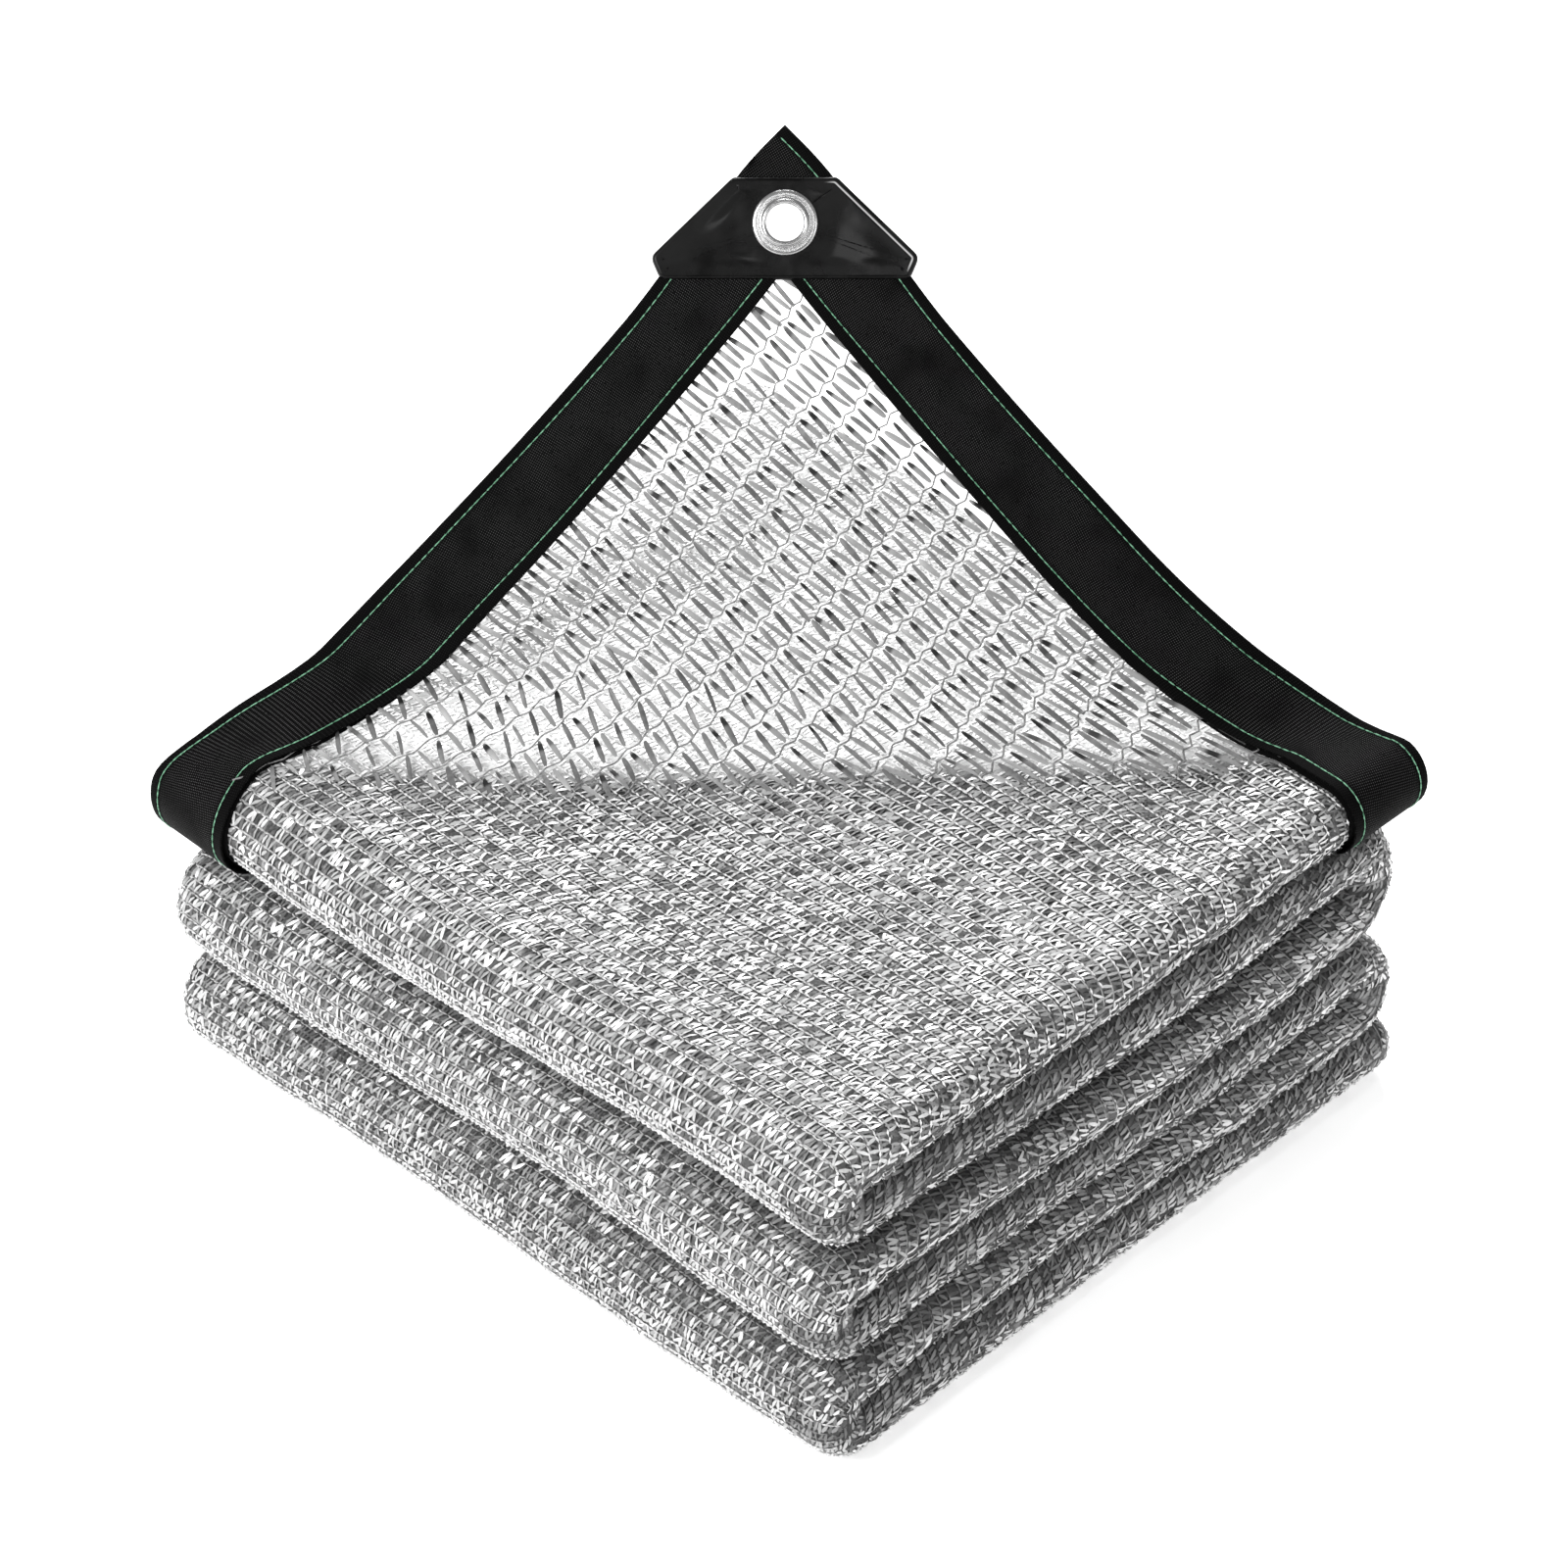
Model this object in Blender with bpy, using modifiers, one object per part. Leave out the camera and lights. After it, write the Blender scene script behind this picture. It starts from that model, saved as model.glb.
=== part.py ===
"""Shade cloth: a silver knitted net with black edge tape, folded into a square stack.

The cloth is folded back and forth into three thick layers. The far corner of its top ply is
lifted about the stack's diagonal, so that one corner with its patch and eyelet stands up.

X runs across the rolls, which lie along Y at -X. Z is up, and the origin is the middle of the
stack's underside. The lifted corner is worked out along two more directions: "across", along the
crease, and "away", from the near corner to the far one.
"""

import math

import bmesh
import bpy
import numpy as np
from mathutils import Matrix, Vector

MM = 0.001
OBJECT_NAME = "shade_cloth"
HALVINGS = 48  # rounds of the search in solve

# Folded stack
STACK_X = 300 * MM
STACK_Y = 331 * MM
PAD_ROWS = (  # from the top: height of the pad's middle, half its thickness, in mm
    (134.8, 11.2),
    (111.8, 11.1),
    (81.7, 10.9),
    (59.0, 10.9),
    (35.2, 10.9),
    (11.9, 11.9),
)
PADS = [(height * MM, half * MM) for height, half in PAD_ROWS]
END_ANGLES = (12, 30, 50, 70, 90)  # where rings round off a lobe, in degrees from its end
MIDDLE_RINGS = 7
RUN_POINTS = 6
TURN_POINTS = 7
CAP_POINTS = 3  # on each half of a free end
PINCHED_TURN = 0.38  # how far a turn closes up where the lobes end
CORNER_INSET = 9 * MM

# Unevenness of the stack
SAG_LEFT = 5 * MM  # how much lower the stack lies at its left corner
SAG_HEIGHT = 14 * MM
WAVE_X = 1.8 * MM
WAVE_Y = 1.5 * MM
WAVE_Z = 1.1 * MM
SWELL_ALONG_X, SWELL_ALONG_Y, SWELL_START = 41 * MM, 52 * MM, 0.6
SWAY_X_ALONG_Y, SWAY_X_ALONG_Z = 43 * MM, 31 * MM
SWAY_Y_ALONG_X, SWAY_Y_ALONG_Z, SWAY_Y_START = 47 * MM, 27 * MM, 1.2
CALM_FROM, CALM_BY = 150 * MM, 230 * MM  # heights between which the unevenness dies away

# Net and tape
NET_THICKNESS = 1.2 * MM
TAPE_WIDTH = 38 * MM
TAPE_PLY = 0.7 * MM
FIT = 0.4 * MM  # play between the net and the tape round it
TAPE_HALF = NET_THICKNESS / 2 + FIT + TAPE_PLY
TAPE_EDGE_ROUND = 0.9 * MM
TAPE_OVERHANG = 4 * MM
TAPE_CLEARANCE = 0.5 * MM  # between the tape and the pads under it
TAPE_BUTT = 0.4 * MM
NET_IN_TAPE = 10 * MM
NET_SHORT_OF_TAPE = -5.5 * MM  # at the crease, where the net already lies on the stack
SLOT_SPARE = 1.5 * MM
SLOT_LEAST = 0.7 * MM
TAPE_UNDER_ROLL = 15 * MM
LOBE_WRAP = math.radians(150)  # how far the right tape turns round the upper fold

# Lifted corner
AWAY_ANGLE = math.radians(44)  # from +X to the direction "away"
SLOPE = math.radians(49.1)
FILLET = 45 * MM
TIP_AWAY = 146 * MM
TIP_HEIGHT = 315 * MM
BOW = 20 * MM  # how much further away the crease lies at its ends than in its middle
BOW_FROM, BOW_TO = 55 * MM, 223 * MM
OUTLINE_ROWS = (  # distance down from the tip in mm, half width as a share of it
    (0, 1.00),
    (12, 1.00),
    (19, 0.90),
    (30, 0.868),
    (65, 0.813),
    (115, 0.828),
    (157, 0.842),
    (180, 0.856),
    (200, 0.869),
    (215, 0.850),
    (231, 0.810),
    (300, 1.000),
)
OUTLINE_BLUR = 5 * MM
STRETCH_ROWS = 240
LEAST_DOWN = 0.1 * MM  # keeps the squeeze finite at the tip itself
CREASE_EASE = 45 * MM
NET_TOP = 48 * MM  # where the net ends under the patch, down from the tip
ROOT_LEAVES = 14 * MM  # path up from the crease where the root runs straight into the pad
ROOT_DEPTH = 8 * MM
SLOT_STARTS, SLOT_FULL = 16 * MM, 36 * MM  # path up from the crease
NET_FILLET_TOP = 44 * MM
NET_FILLET_ROWS, NET_ROWS, NET_COLUMNS = 7, 8, 16
ROLL_STATIONS, LOBE_STATIONS, CREASE_STATIONS, TAPE_STATIONS = 14, 10, 18, 8
CLOSE_STATIONS_FOR = 60 * MM  # along the tape, past where the net is fully in it

# Patch, in the plane of the lifted corner, down from the tip
PATCH_PLY = 0.9 * MM
PATCH_FIT = 0.35 * MM
PATCH_TOP, PATCH_BOTTOM = 18.5 * MM, 55.3 * MM
PATCH_TOP_HALF, PATCH_BOTTOM_HALF = 18.5 * MM, 44.5 * MM
PATCH_WIDEST, PATCH_WIDEST_HALF = 47.0 * MM, 48.0 * MM
PATCH_ROUND = 3.5 * MM
POCKET_SLOPE, POCKET_EXTRA = 0.93, 1.0 * MM
PATCH_HALF = TAPE_HALF + PATCH_FIT + PATCH_PLY
ROUND_STEPS = 4

# Eyelet
EYELET_DOWN = 35 * MM
EYELET_STEPS = 36
EYELET_PASS = 7.65 * MM  # radius of the hole in tape and patch
EYELET_LIFT = 0.3 * MM  # from the patch to the flange
EYELET_FRONT = (  # radius and height in front of that place, in mm, from the hole outwards
    (6.6, 0.8),
    (6.95, 1.55),
    (7.6, 1.9),
    (8.4, 1.75),
    (8.85, 0.95),
    (11.25, 0.95),
    (11.75, 0.5),
    (11.75, 0),
    (7.3, 0),
)
EYELET_BACK = (  # the same behind the patch, from the barrel back to the hole
    (7.3, 0),
    (11.15, 0),
    (10.95, 0.8),
    (8.1, 1.1),
    (7.1, 1.0),
    (6.6, 0.5),
)
WELD = 0.02 * MM

TOP_OF_STACK = PADS[0][0] + PADS[0][1]
PLY_RISE = TAPE_CLEARANCE + TAPE_HALF
PLY_HEIGHT = TOP_OF_STACK + PLY_RISE
TIP_X = STACK_X / 2 + TAPE_OVERHANG
TIP_Y = STACK_Y / 2 + TAPE_OVERHANG
ROLL_MIDDLE = (PADS[0][0] + PADS[1][0]) / 2
ROLL_RADIUS = TOP_OF_STACK - ROLL_MIDDLE
ROLL_X = -STACK_X / 2 + ROLL_RADIUS
LOBE_Y = -STACK_Y / 2 + PADS[0][1]

COLOURS = {  # base colour, roughness, metallic
    "cloth": ((0.46, 0.47, 0.48), 0.45, 0.6),
    "hem_left": ((0.012, 0.012, 0.014), 0.75, 0.0),
    "hem_right": ((0.016, 0.016, 0.018), 0.75, 0.0),
    "corner_patch": ((0.010, 0.010, 0.011), 0.28, 0.0),
    "eyelet": ((0.80, 0.80, 0.80), 0.25, 1.0),
}


def smooth(share):
    """Eases from 0 to 1."""
    share = min(1.0, max(0.0, share))
    return share * share * (3 - 2 * share)


def solve(wanted, low, high):
    """The value between low and high at which a rising or falling function crosses zero."""
    rising = wanted(high) > wanted(low)
    for _ in range(HALVINGS):
        middle = (low + high) / 2
        if (wanted(middle) > 0) == rising:
            high = middle
        else:
            low = middle
    return (low + high) / 2


# Directions of the lifted corner
def to_diagonal(x, y):
    """(across, away) of a place on the plan."""
    across = x * math.sin(AWAY_ANGLE) - y * math.cos(AWAY_ANGLE)
    away = x * math.cos(AWAY_ANGLE) + y * math.sin(AWAY_ANGLE)
    return across, away


def from_diagonal(across, away):
    x = across * math.sin(AWAY_ANGLE) + away * math.cos(AWAY_ANGLE)
    y = -across * math.cos(AWAY_ANGLE) + away * math.sin(AWAY_ANGLE)
    return x, y


def settle(point):
    """Lets the stack sag and lie a little uneven. The underside stays flat."""
    x, y, z = point
    across, _ = to_diagonal(x, y)
    calm = smooth((z - CALM_FROM) / (CALM_BY - CALM_FROM))
    held = (1 - math.exp(-max(z, 0.0) / SAG_HEIGHT)) * (1 - calm)
    sag = SAG_LEFT * smooth(-across / BOW_TO)
    swell = WAVE_Z * math.sin(x / SWELL_ALONG_X + SWELL_START) * math.cos(y / SWELL_ALONG_Y)
    sway_x = WAVE_X * math.sin(y / SWAY_X_ALONG_Y + z / SWAY_X_ALONG_Z)
    sway_y = WAVE_Y * math.sin(x / SWAY_Y_ALONG_X + z / SWAY_Y_ALONG_Z + SWAY_Y_START)
    return Vector((x + held * sway_x, y + held * sway_y, z + held * (swell - sag)))


# Spine of the lifted corner: straight down from the tip, then a fillet onto the stack
STRAIGHT = (TIP_HEIGHT - PLY_HEIGHT - FILLET * (1 - math.cos(SLOPE))) / math.sin(SLOPE)
SPINE_END = STRAIGHT + FILLET * SLOPE
CREASE_AWAY = TIP_AWAY - STRAIGHT * math.cos(SLOPE) - FILLET * math.sin(SLOPE)
FLAT_TIP_ACROSS, FLAT_TIP_AWAY = to_diagonal(TIP_X, TIP_Y)
FLAT_REACH = FLAT_TIP_AWAY - CREASE_AWAY


def spine(down):
    """(away, height) of the ply's middle, this far down the cloth from the tip."""
    if down < STRAIGHT:
        return TIP_AWAY - down * math.cos(SLOPE), TIP_HEIGHT - down * math.sin(SLOPE)
    turn = max(0.0, SLOPE - (down - STRAIGHT) / FILLET)
    past = max(0.0, down - SPINE_END)
    return (
        CREASE_AWAY + FILLET * math.sin(turn) - past,
        PLY_HEIGHT + FILLET * (1 - math.cos(turn)),
    )


def half_width(down):
    """Half the lifted corner's width, this far down from its tip."""
    rows = [row[0] * MM for row in OUTLINE_ROWS]
    shares = [row[1] for row in OUTLINE_ROWS]
    near = [max(0.0, down + step * OUTLINE_BLUR) for step in (-1, 0, 1)]
    return down * float(np.mean(np.interp(near, rows, shares)))


def stretch_table():
    """Pairs of lengths down from the tip: on the lifted net, and on the same net laid flat.

    The tape doesn't stretch, so it sets how far the net is drawn out lengthwise.
    """
    lifted = np.linspace(0.0, SPINE_END, STRETCH_ROWS)
    widths = np.array([half_width(down) for down in lifted])
    along = np.hypot(np.diff(lifted), np.diff(widths))
    flat = np.concatenate([[0.0], np.cumsum(along)])
    return flat * FLAT_REACH / flat[-1], lifted


FLAT_DOWN, LIFTED_DOWN = stretch_table()


def bow(across):
    return BOW * (max(0.0, abs(across) - BOW_FROM) / (BOW_TO - BOW_FROM)) ** 2


def lifted_path(x, y):
    """How far up from the crease a place on the flat ply is. It is negative on the stack."""
    across, away = to_diagonal(x, y)
    return away - CREASE_AWAY - bow(across)


def wrap(x, y):
    """The ply's middle on the stack: flat on top, round the roll at -X, round the lobe at -Y."""
    height = PLY_HEIGHT
    if x < ROLL_X:
        radius = ROLL_RADIUS + PLY_RISE
        turn = min(math.pi, (ROLL_X - x) / radius)
        past = max(0.0, ROLL_X - x - math.pi * radius)
        height += radius * (math.cos(turn) - 1)
        x = ROLL_X - radius * math.sin(turn) + past
    if y < LOBE_Y:
        radius = PADS[0][1] + PLY_RISE
        turn = (LOBE_Y - y) / radius
        height += radius * (math.cos(turn) - 1)
        y = LOBE_Y - radius * math.sin(turn)
    return Vector((x, y, height))


def ply_middle(x, y):
    """The top ply's middle surface, from its place on the flat cloth."""
    place = wrap(x, y)
    path = lifted_path(x, y)
    if path <= 0:
        return place
    across, away = to_diagonal(x, y)
    flat_down = max(LEAST_DOWN, FLAT_TIP_AWAY - away)
    down = float(np.interp(FLAT_REACH - path, FLAT_DOWN, LIFTED_DOWN))
    spine_away, spine_height = spine(down)
    centre = FLAT_TIP_ACROSS * (away / FLAT_TIP_AWAY + 1) / 2
    eased = smooth(path / CREASE_EASE)
    squeeze = 1 + (half_width(down) / flat_down - 1) * eased
    new_across = centre * (1 - eased) + (across - centre) * squeeze
    side = Vector((*from_diagonal(new_across - across, 0.0), 0.0))
    forth = Vector((*from_diagonal(0.0, spine_away + bow(across) - away), 0.0))
    return place + side + forth + Vector((0.0, 0.0, spine_height - PLY_HEIGHT))


def ply_point(x, y, out=0.0):
    """A point this far out from the top ply's middle surface."""
    step = 0.2 * MM
    along_x = ply_middle(x + step, y) - ply_middle(x - step, y)
    along_y = ply_middle(x, y + step) - ply_middle(x, y - step)
    return ply_middle(x, y) + out * along_x.cross(along_y).normalized()


def corner_frame():
    """Placement of things on the lifted corner: X across, Y up to the tip, Z out of it."""
    side = Vector((*from_diagonal(1.0, 0.0), 0.0))
    level = Vector((*from_diagonal(0.0, 1.0), 0.0))
    upward = level * math.cos(SLOPE) + Vector((0.0, 0.0, math.sin(SLOPE)))
    frame = Matrix((side, upward, side.cross(upward))).transposed().to_4x4()
    frame.translation = Vector((*from_diagonal(0.0, TIP_AWAY), TIP_HEIGHT))
    return frame


# Objects
def clear_scene():
    for thing in list(bpy.data.objects):
        bpy.data.objects.remove(thing, do_unlink=True)


def new_collection(name):
    made = bpy.data.collections.new(name)
    bpy.context.scene.collection.children.link(made)
    return made


def material_for(name):
    colour, roughness, metallic = COLOURS[name]
    material = bpy.data.materials.new(name)
    material.use_nodes = True
    shader = material.node_tree.nodes["Principled BSDF"]
    shader.inputs["Base Color"].default_value = (*colour, 1.0)
    shader.inputs["Roughness"].default_value = roughness
    shader.inputs["Metallic"].default_value = metallic
    return material


def object_from(name, collection, form, frame=None):
    """A new object from a bmesh, in the world or in the frame given."""
    bmesh.ops.recalc_face_normals(form, faces=form.faces)
    mesh = bpy.data.meshes.new(name)
    form.to_mesh(mesh)
    form.free()
    made = bpy.data.objects.new(name, mesh)
    collection.objects.link(made)
    if name in COLOURS:
        mesh.materials.append(material_for(name))
    if frame is not None:
        made.matrix_world = frame
    return made


def helper(made):
    """Marks an object that only cuts or joins another."""
    made.hide_render = True
    made.display_type = "WIRE"
    return made


def boolean(target, other, operation):
    modifier = target.modifiers.new(f"{operation.lower()} {other.name}", "BOOLEAN")
    modifier.operation = operation
    modifier.object = other


def loft(rings, strip_caps=False):
    """A closed solid through rings of equally many points.

    A ring that runs out along one face and back along the other is closed with a strip.
    """
    form = bmesh.new()
    laid = [[form.verts.new(point) for point in ring] for ring in rings]
    for ring, following in zip(laid, laid[1:]):
        for here in range(len(ring)):
            there = (here + 1) % len(ring)
            form.faces.new((ring[here], ring[there], following[there], following[here]))
    for ring in (laid[0], laid[-1]):
        if not strip_caps:
            form.faces.new(ring)
            continue
        back = ring[::-1]
        for here in range(len(ring) // 2 - 1):
            form.faces.new((ring[here], ring[here + 1], back[here + 1], back[here]))
    return form


def between(first, last, count):
    """Evenly spaced values from first up to, but not including, last."""
    return [first + (last - first) * step / count for step in range(count)]


# Folded body
def turn_reach(drop, round_share):
    """How far a turn's middle line bulges sideways. It closes up where the lobes end."""
    return drop * math.sqrt(round_share + (1 - round_share) * PINCHED_TURN)


def turn_points(centre_x, upper, lower, side, round_share, outer):
    """The outer or inner edge of a fold's turn, from the upper pad to the lower."""
    (high, high_half), (low, low_half) = upper, lower
    drop = (high - low) / 2
    reach = turn_reach(drop, round_share)
    points = []
    for step in range(TURN_POINTS):
        share = step / (TURN_POINTS - 1)
        angle = math.pi * share
        half = round_share * (high_half + (low_half - high_half) * share)
        out_x, out_z = math.sin(angle) / reach, math.cos(angle) / drop
        scale = half * (1 if outer else -1) / math.hypot(out_x, out_z)
        x = reach * math.sin(angle) + out_x * scale
        z = (high + low) / 2 + drop * math.cos(angle) + out_z * scale
        points.append((centre_x + side * x, z))
    return points


def turn_centre(upper, lower, side, round_share):
    (high, half), (low, _) = upper, lower
    reach = turn_reach((high - low) / 2, round_share)
    inset = CORNER_INSET * (1 - round_share)
    return side * (STACK_X / 2 - inset - reach - half * round_share)


def cap_points(x, pad, round_share):
    """Rounds off a free end at +X: its lower half, from below, and its upper half."""
    height, half = pad
    last = 2 * CAP_POINTS - 1
    angles = [math.pi * (step / last - 0.5) for step in range(last + 1)]
    reach = half * round_share
    points = [(x + reach * math.cos(a), height + reach * math.sin(a)) for a in angles]
    return points[:CAP_POINTS], points[CAP_POINTS:]


def section(round_share):
    """Outline (x, z) of the back-and-forth section, its thickness scaled by round_share.

    Even pads head to -X and odd ones to +X. Edge 1 lies above the even pads.
    """
    free_end = STACK_X / 2 - PADS[0][1] * round_share - CORNER_INSET * (1 - round_share)
    edges = {1: [], -1: []}
    start = free_end
    for row, (height, half) in enumerate(PADS):
        heading = 1 if row % 2 else -1
        turns = row + 1 < len(PADS)
        below = (PADS[row], PADS[row + 1]) if turns else None
        stop = turn_centre(*below, heading, round_share) if turns else free_end
        for edge, points in edges.items():
            z = height - heading * edge * half * round_share
            points += [(x, z) for x in between(start, stop, RUN_POINTS)[1:]]
            if turns:
                outer = edge == -heading
                points += turn_points(stop, *below, heading, round_share, outer)
        start = stop
    start_under, start_over = cap_points(free_end, PADS[0], round_share)
    end_under, end_over = cap_points(free_end, PADS[-1], round_share)
    return start_over + edges[1] + end_under + end_over + edges[-1][::-1] + start_under


def folded_body():
    """The stack as one loft along Y, its lobes rounded off at both ends."""
    half = PADS[0][1]
    ends = [(math.sin(a), half * math.cos(a)) for a in map(math.radians, END_ANGLES)]
    low, high = LOBE_Y, STACK_Y / 2 - half
    places = [(share, low - reach) for share, reach in ends]
    places += [(1.0, y) for y in between(low, high, MIDDLE_RINGS)[1:]]
    places += [(share, high + reach) for share, reach in reversed(ends)]
    rings = []
    for share, y in places:
        rings.append([settle((x, y, z)) for x, z in section(share)])
    return loft(rings, strip_caps=True)


# Net of the lifted corner
LEFT_INNER = TIP_Y - TAPE_WIDTH
RIGHT_INNER = TIP_X - TAPE_WIDTH


def slot_span(path_at):
    """Where along a tape the net starts to enter it, and where it is fully in."""
    starts = solve(lambda place: path_at(place) - SLOT_STARTS, -STACK_Y / 2, STACK_Y / 2)
    full = solve(lambda place: path_at(place) - SLOT_FULL, -STACK_Y / 2, STACK_Y / 2)
    return starts, full


LEFT_SLOT = slot_span(lambda x: lifted_path(x, LEFT_INNER))
RIGHT_SLOT = slot_span(lambda y: lifted_path(RIGHT_INNER, y))


def net_in_tape(place, span):
    """How far the net reaches into the tape, at this place along it."""
    starts, full = span
    share = smooth((place - starts) / (full - starts))
    return NET_SHORT_OF_TAPE + (NET_IN_TAPE - NET_SHORT_OF_TAPE) * share


def on_row(across, path):
    return from_diagonal(across, CREASE_AWAY + bow(across) + path)


def row_ends(path):
    """The net's two side edges, across the diagonal, at this path up from the crease."""

    def beyond_left(across):
        x, y = on_row(across, path)
        return y - LEFT_INNER - net_in_tape(x, LEFT_SLOT)

    def beyond_right(across):
        x, y = on_row(across, path)
        return x - RIGHT_INNER - net_in_tape(y, RIGHT_SLOT)

    reach = STACK_Y
    left = solve(beyond_left, -reach, FLAT_TIP_ACROSS)
    right = solve(beyond_right, FLAT_TIP_ACROSS, reach)
    return left, right


def net_point(across, path, out):
    """A point of the lifted net. Below its root it runs straight on into the pad."""
    held = max(path, ROOT_LEAVES)
    x, y = on_row(across, held)
    point = ply_point(x, y, out)
    if path < held:
        step = 1 * MM
        x, y = on_row(across, held + step)
        point += (ply_point(x, y, out) - point) * (path - held) / step
    return point


def lifted_net():
    flat_top = float(np.interp(NET_TOP, LIFTED_DOWN, FLAT_DOWN))
    top = FLAT_REACH - flat_top
    paths = between(-ROOT_DEPTH, ROOT_LEAVES, 2)
    paths += between(ROOT_LEAVES, NET_FILLET_TOP, NET_FILLET_ROWS)
    paths += between(NET_FILLET_TOP, top, NET_ROWS) + [top]
    rings = []
    for path in paths:
        left, right = row_ends(path)
        places = between(left, right, NET_COLUMNS) + [right]
        upper = [settle(net_point(across, path, NET_THICKNESS / 2)) for across in places]
        lower = [settle(net_point(across, path, -NET_THICKNESS / 2)) for across in places]
        rings.append(upper + lower[::-1])
    return loft(rings, strip_caps=True)


# Edge tape
def tape_section(slot):
    """Outline (in from the outer edge, out of the ply) of the tape folded over the net."""
    thick, gap, edge = TAPE_HALF, NET_THICKNESS / 2 + FIT, TAPE_EDGE_ROUND
    upper = [(TAPE_WIDTH * share, thick) for share in (1, 2 / 3, 1 / 3)]
    upper += [(edge, thick), (0.0, thick - edge)]
    lower = [(inward, -out) for inward, out in reversed(upper)]
    inside = [(TAPE_WIDTH, -gap), (TAPE_WIDTH - slot, -gap)]
    return upper + lower + inside + [(inward, -out) for inward, out in reversed(inside)]


def tape(places, span, flat_place):
    """A tape through these places along it. flat_place gives its points on the flat ply."""
    rings = []
    for place in places:
        slot = max(SLOT_LEAST, net_in_tape(place, span) + SLOT_SPARE)
        ring = []
        for inward, out in tape_section(slot):
            x, y = flat_place(place, inward)
            ring.append(settle(ply_point(x, y, out)))
        rings.append(ring)
    return loft(rings)


def left_tape():
    """From under the top roll, round it and up to the tip, where it butts on the other tape."""
    end = RIGHT_INNER - TAPE_BUTT
    wrapped = math.pi * (ROLL_RADIUS + PLY_RISE)
    places = between(ROLL_X - wrapped - TAPE_UNDER_ROLL, ROLL_X - wrapped, 1)
    places += between(ROLL_X - wrapped, ROLL_X, ROLL_STATIONS)
    close = LEFT_SLOT[1] + CLOSE_STATIONS_FOR
    places += between(ROLL_X, close, CREASE_STATIONS)
    places += between(close, end, TAPE_STATIONS) + [end]
    return tape(places, LEFT_SLOT, lambda x, inward: (x, TIP_Y - inward))


def right_tape():
    """From the groove under the upper fold, round it and up over the tip."""
    wrapped = LOBE_WRAP * (PADS[0][1] + PLY_RISE)
    places = between(LOBE_Y - wrapped, LOBE_Y, LOBE_STATIONS)
    close = RIGHT_SLOT[1] + CLOSE_STATIONS_FOR
    places += between(LOBE_Y, close, CREASE_STATIONS)
    places += between(close, TIP_Y, TAPE_STATIONS) + [TIP_Y]
    return tape(places, RIGHT_SLOT, lambda y, inward: (TIP_X - inward, y))


# Patch and eyelet
def rounded(corners, radius):
    """An outline with each of its corners turned into a short arc."""
    outline = []
    for here, corner in enumerate(corners):
        corner = Vector(corner)
        before = (Vector(corners[here - 1]) - corner).normalized()
        after = (Vector(corners[(here + 1) % len(corners)]) - corner).normalized()
        half_angle = before.angle(after) / 2
        setback = radius / math.tan(half_angle)
        middle = corner + (before + after).normalized() * radius / math.sin(half_angle)
        start, end = corner + before * setback - middle, corner + after * setback - middle
        for step in range(ROUND_STEPS + 1):
            mixed = start.lerp(end, step / ROUND_STEPS).normalized() * radius
            outline.append(middle + mixed)
    return outline


def prism(outline, half_thickness):
    form = bmesh.new()
    face = form.faces.new([form.verts.new((x, y, -half_thickness)) for x, y in outline])
    raised = bmesh.ops.extrude_face_region(form, geom=[face])["geom"]
    moved = [item for item in raised if isinstance(item, bmesh.types.BMVert)]
    bmesh.ops.translate(form, verts=moved, vec=(0.0, 0.0, 2 * half_thickness))
    return form


def corner_patch(parts, cutters, frame):
    """A sleeve over the tapes: two plies that join along the corner's two sloping edges."""
    half_side = (
        (PATCH_TOP_HALF, -PATCH_TOP),
        (PATCH_WIDEST_HALF, -PATCH_WIDEST),
        (PATCH_BOTTOM_HALF, -PATCH_BOTTOM),
    )
    corners = list(half_side) + [(-x, y) for x, y in reversed(half_side)]
    made = object_from(
        "corner_patch", parts, prism(rounded(corners, PATCH_ROUND), PATCH_HALF), frame
    )
    ends = (PATCH_TOP - PATCH_ROUND, PATCH_BOTTOM + PATCH_ROUND)
    side = [(POCKET_SLOPE * down + POCKET_EXTRA, -down) for down in ends]
    pocket = side + [(-x, y) for x, y in reversed(side)]
    pocket_form = prism(pocket, TAPE_HALF + PATCH_FIT)
    boolean(made, helper(object_from("pocket", cutters, pocket_form, frame)), "DIFFERENCE")
    return made


def eyelet_pass(cutters, frame):
    """The round hole that the eyelet's barrel goes through."""
    form = bmesh.new()
    bmesh.ops.create_cone(
        form,
        cap_ends=True,
        segments=EYELET_STEPS,
        radius1=EYELET_PASS,
        radius2=EYELET_PASS,
        depth=4 * PATCH_HALF,
    )
    place = frame @ Matrix.Translation((0.0, -EYELET_DOWN, 0.0))
    return helper(object_from("eyelet_pass", cutters, form, place))


def eyelet(parts, frame):
    """A pressed eyelet as one turned ring: raised lip, flange, barrel and back flange."""
    face = PATCH_HALF + EYELET_LIFT
    profile = [(radius * MM, face + height * MM) for radius, height in EYELET_FRONT]
    profile += [(radius * MM, -face - height * MM) for radius, height in EYELET_BACK]
    form = bmesh.new()
    points = [form.verts.new((radius, 0.0, height)) for radius, height in profile]
    for here, point in enumerate(points):
        form.edges.new((point, points[(here + 1) % len(points)]))
    place = frame @ Matrix.Translation((0.0, -EYELET_DOWN, 0.0))
    made = object_from("eyelet", parts, form, place)
    turned = made.modifiers.new("turned", "SCREW")
    turned.steps = turned.render_steps = EYELET_STEPS
    turned.use_merge_vertices = True
    turned.merge_threshold = WELD
    return made


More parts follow.
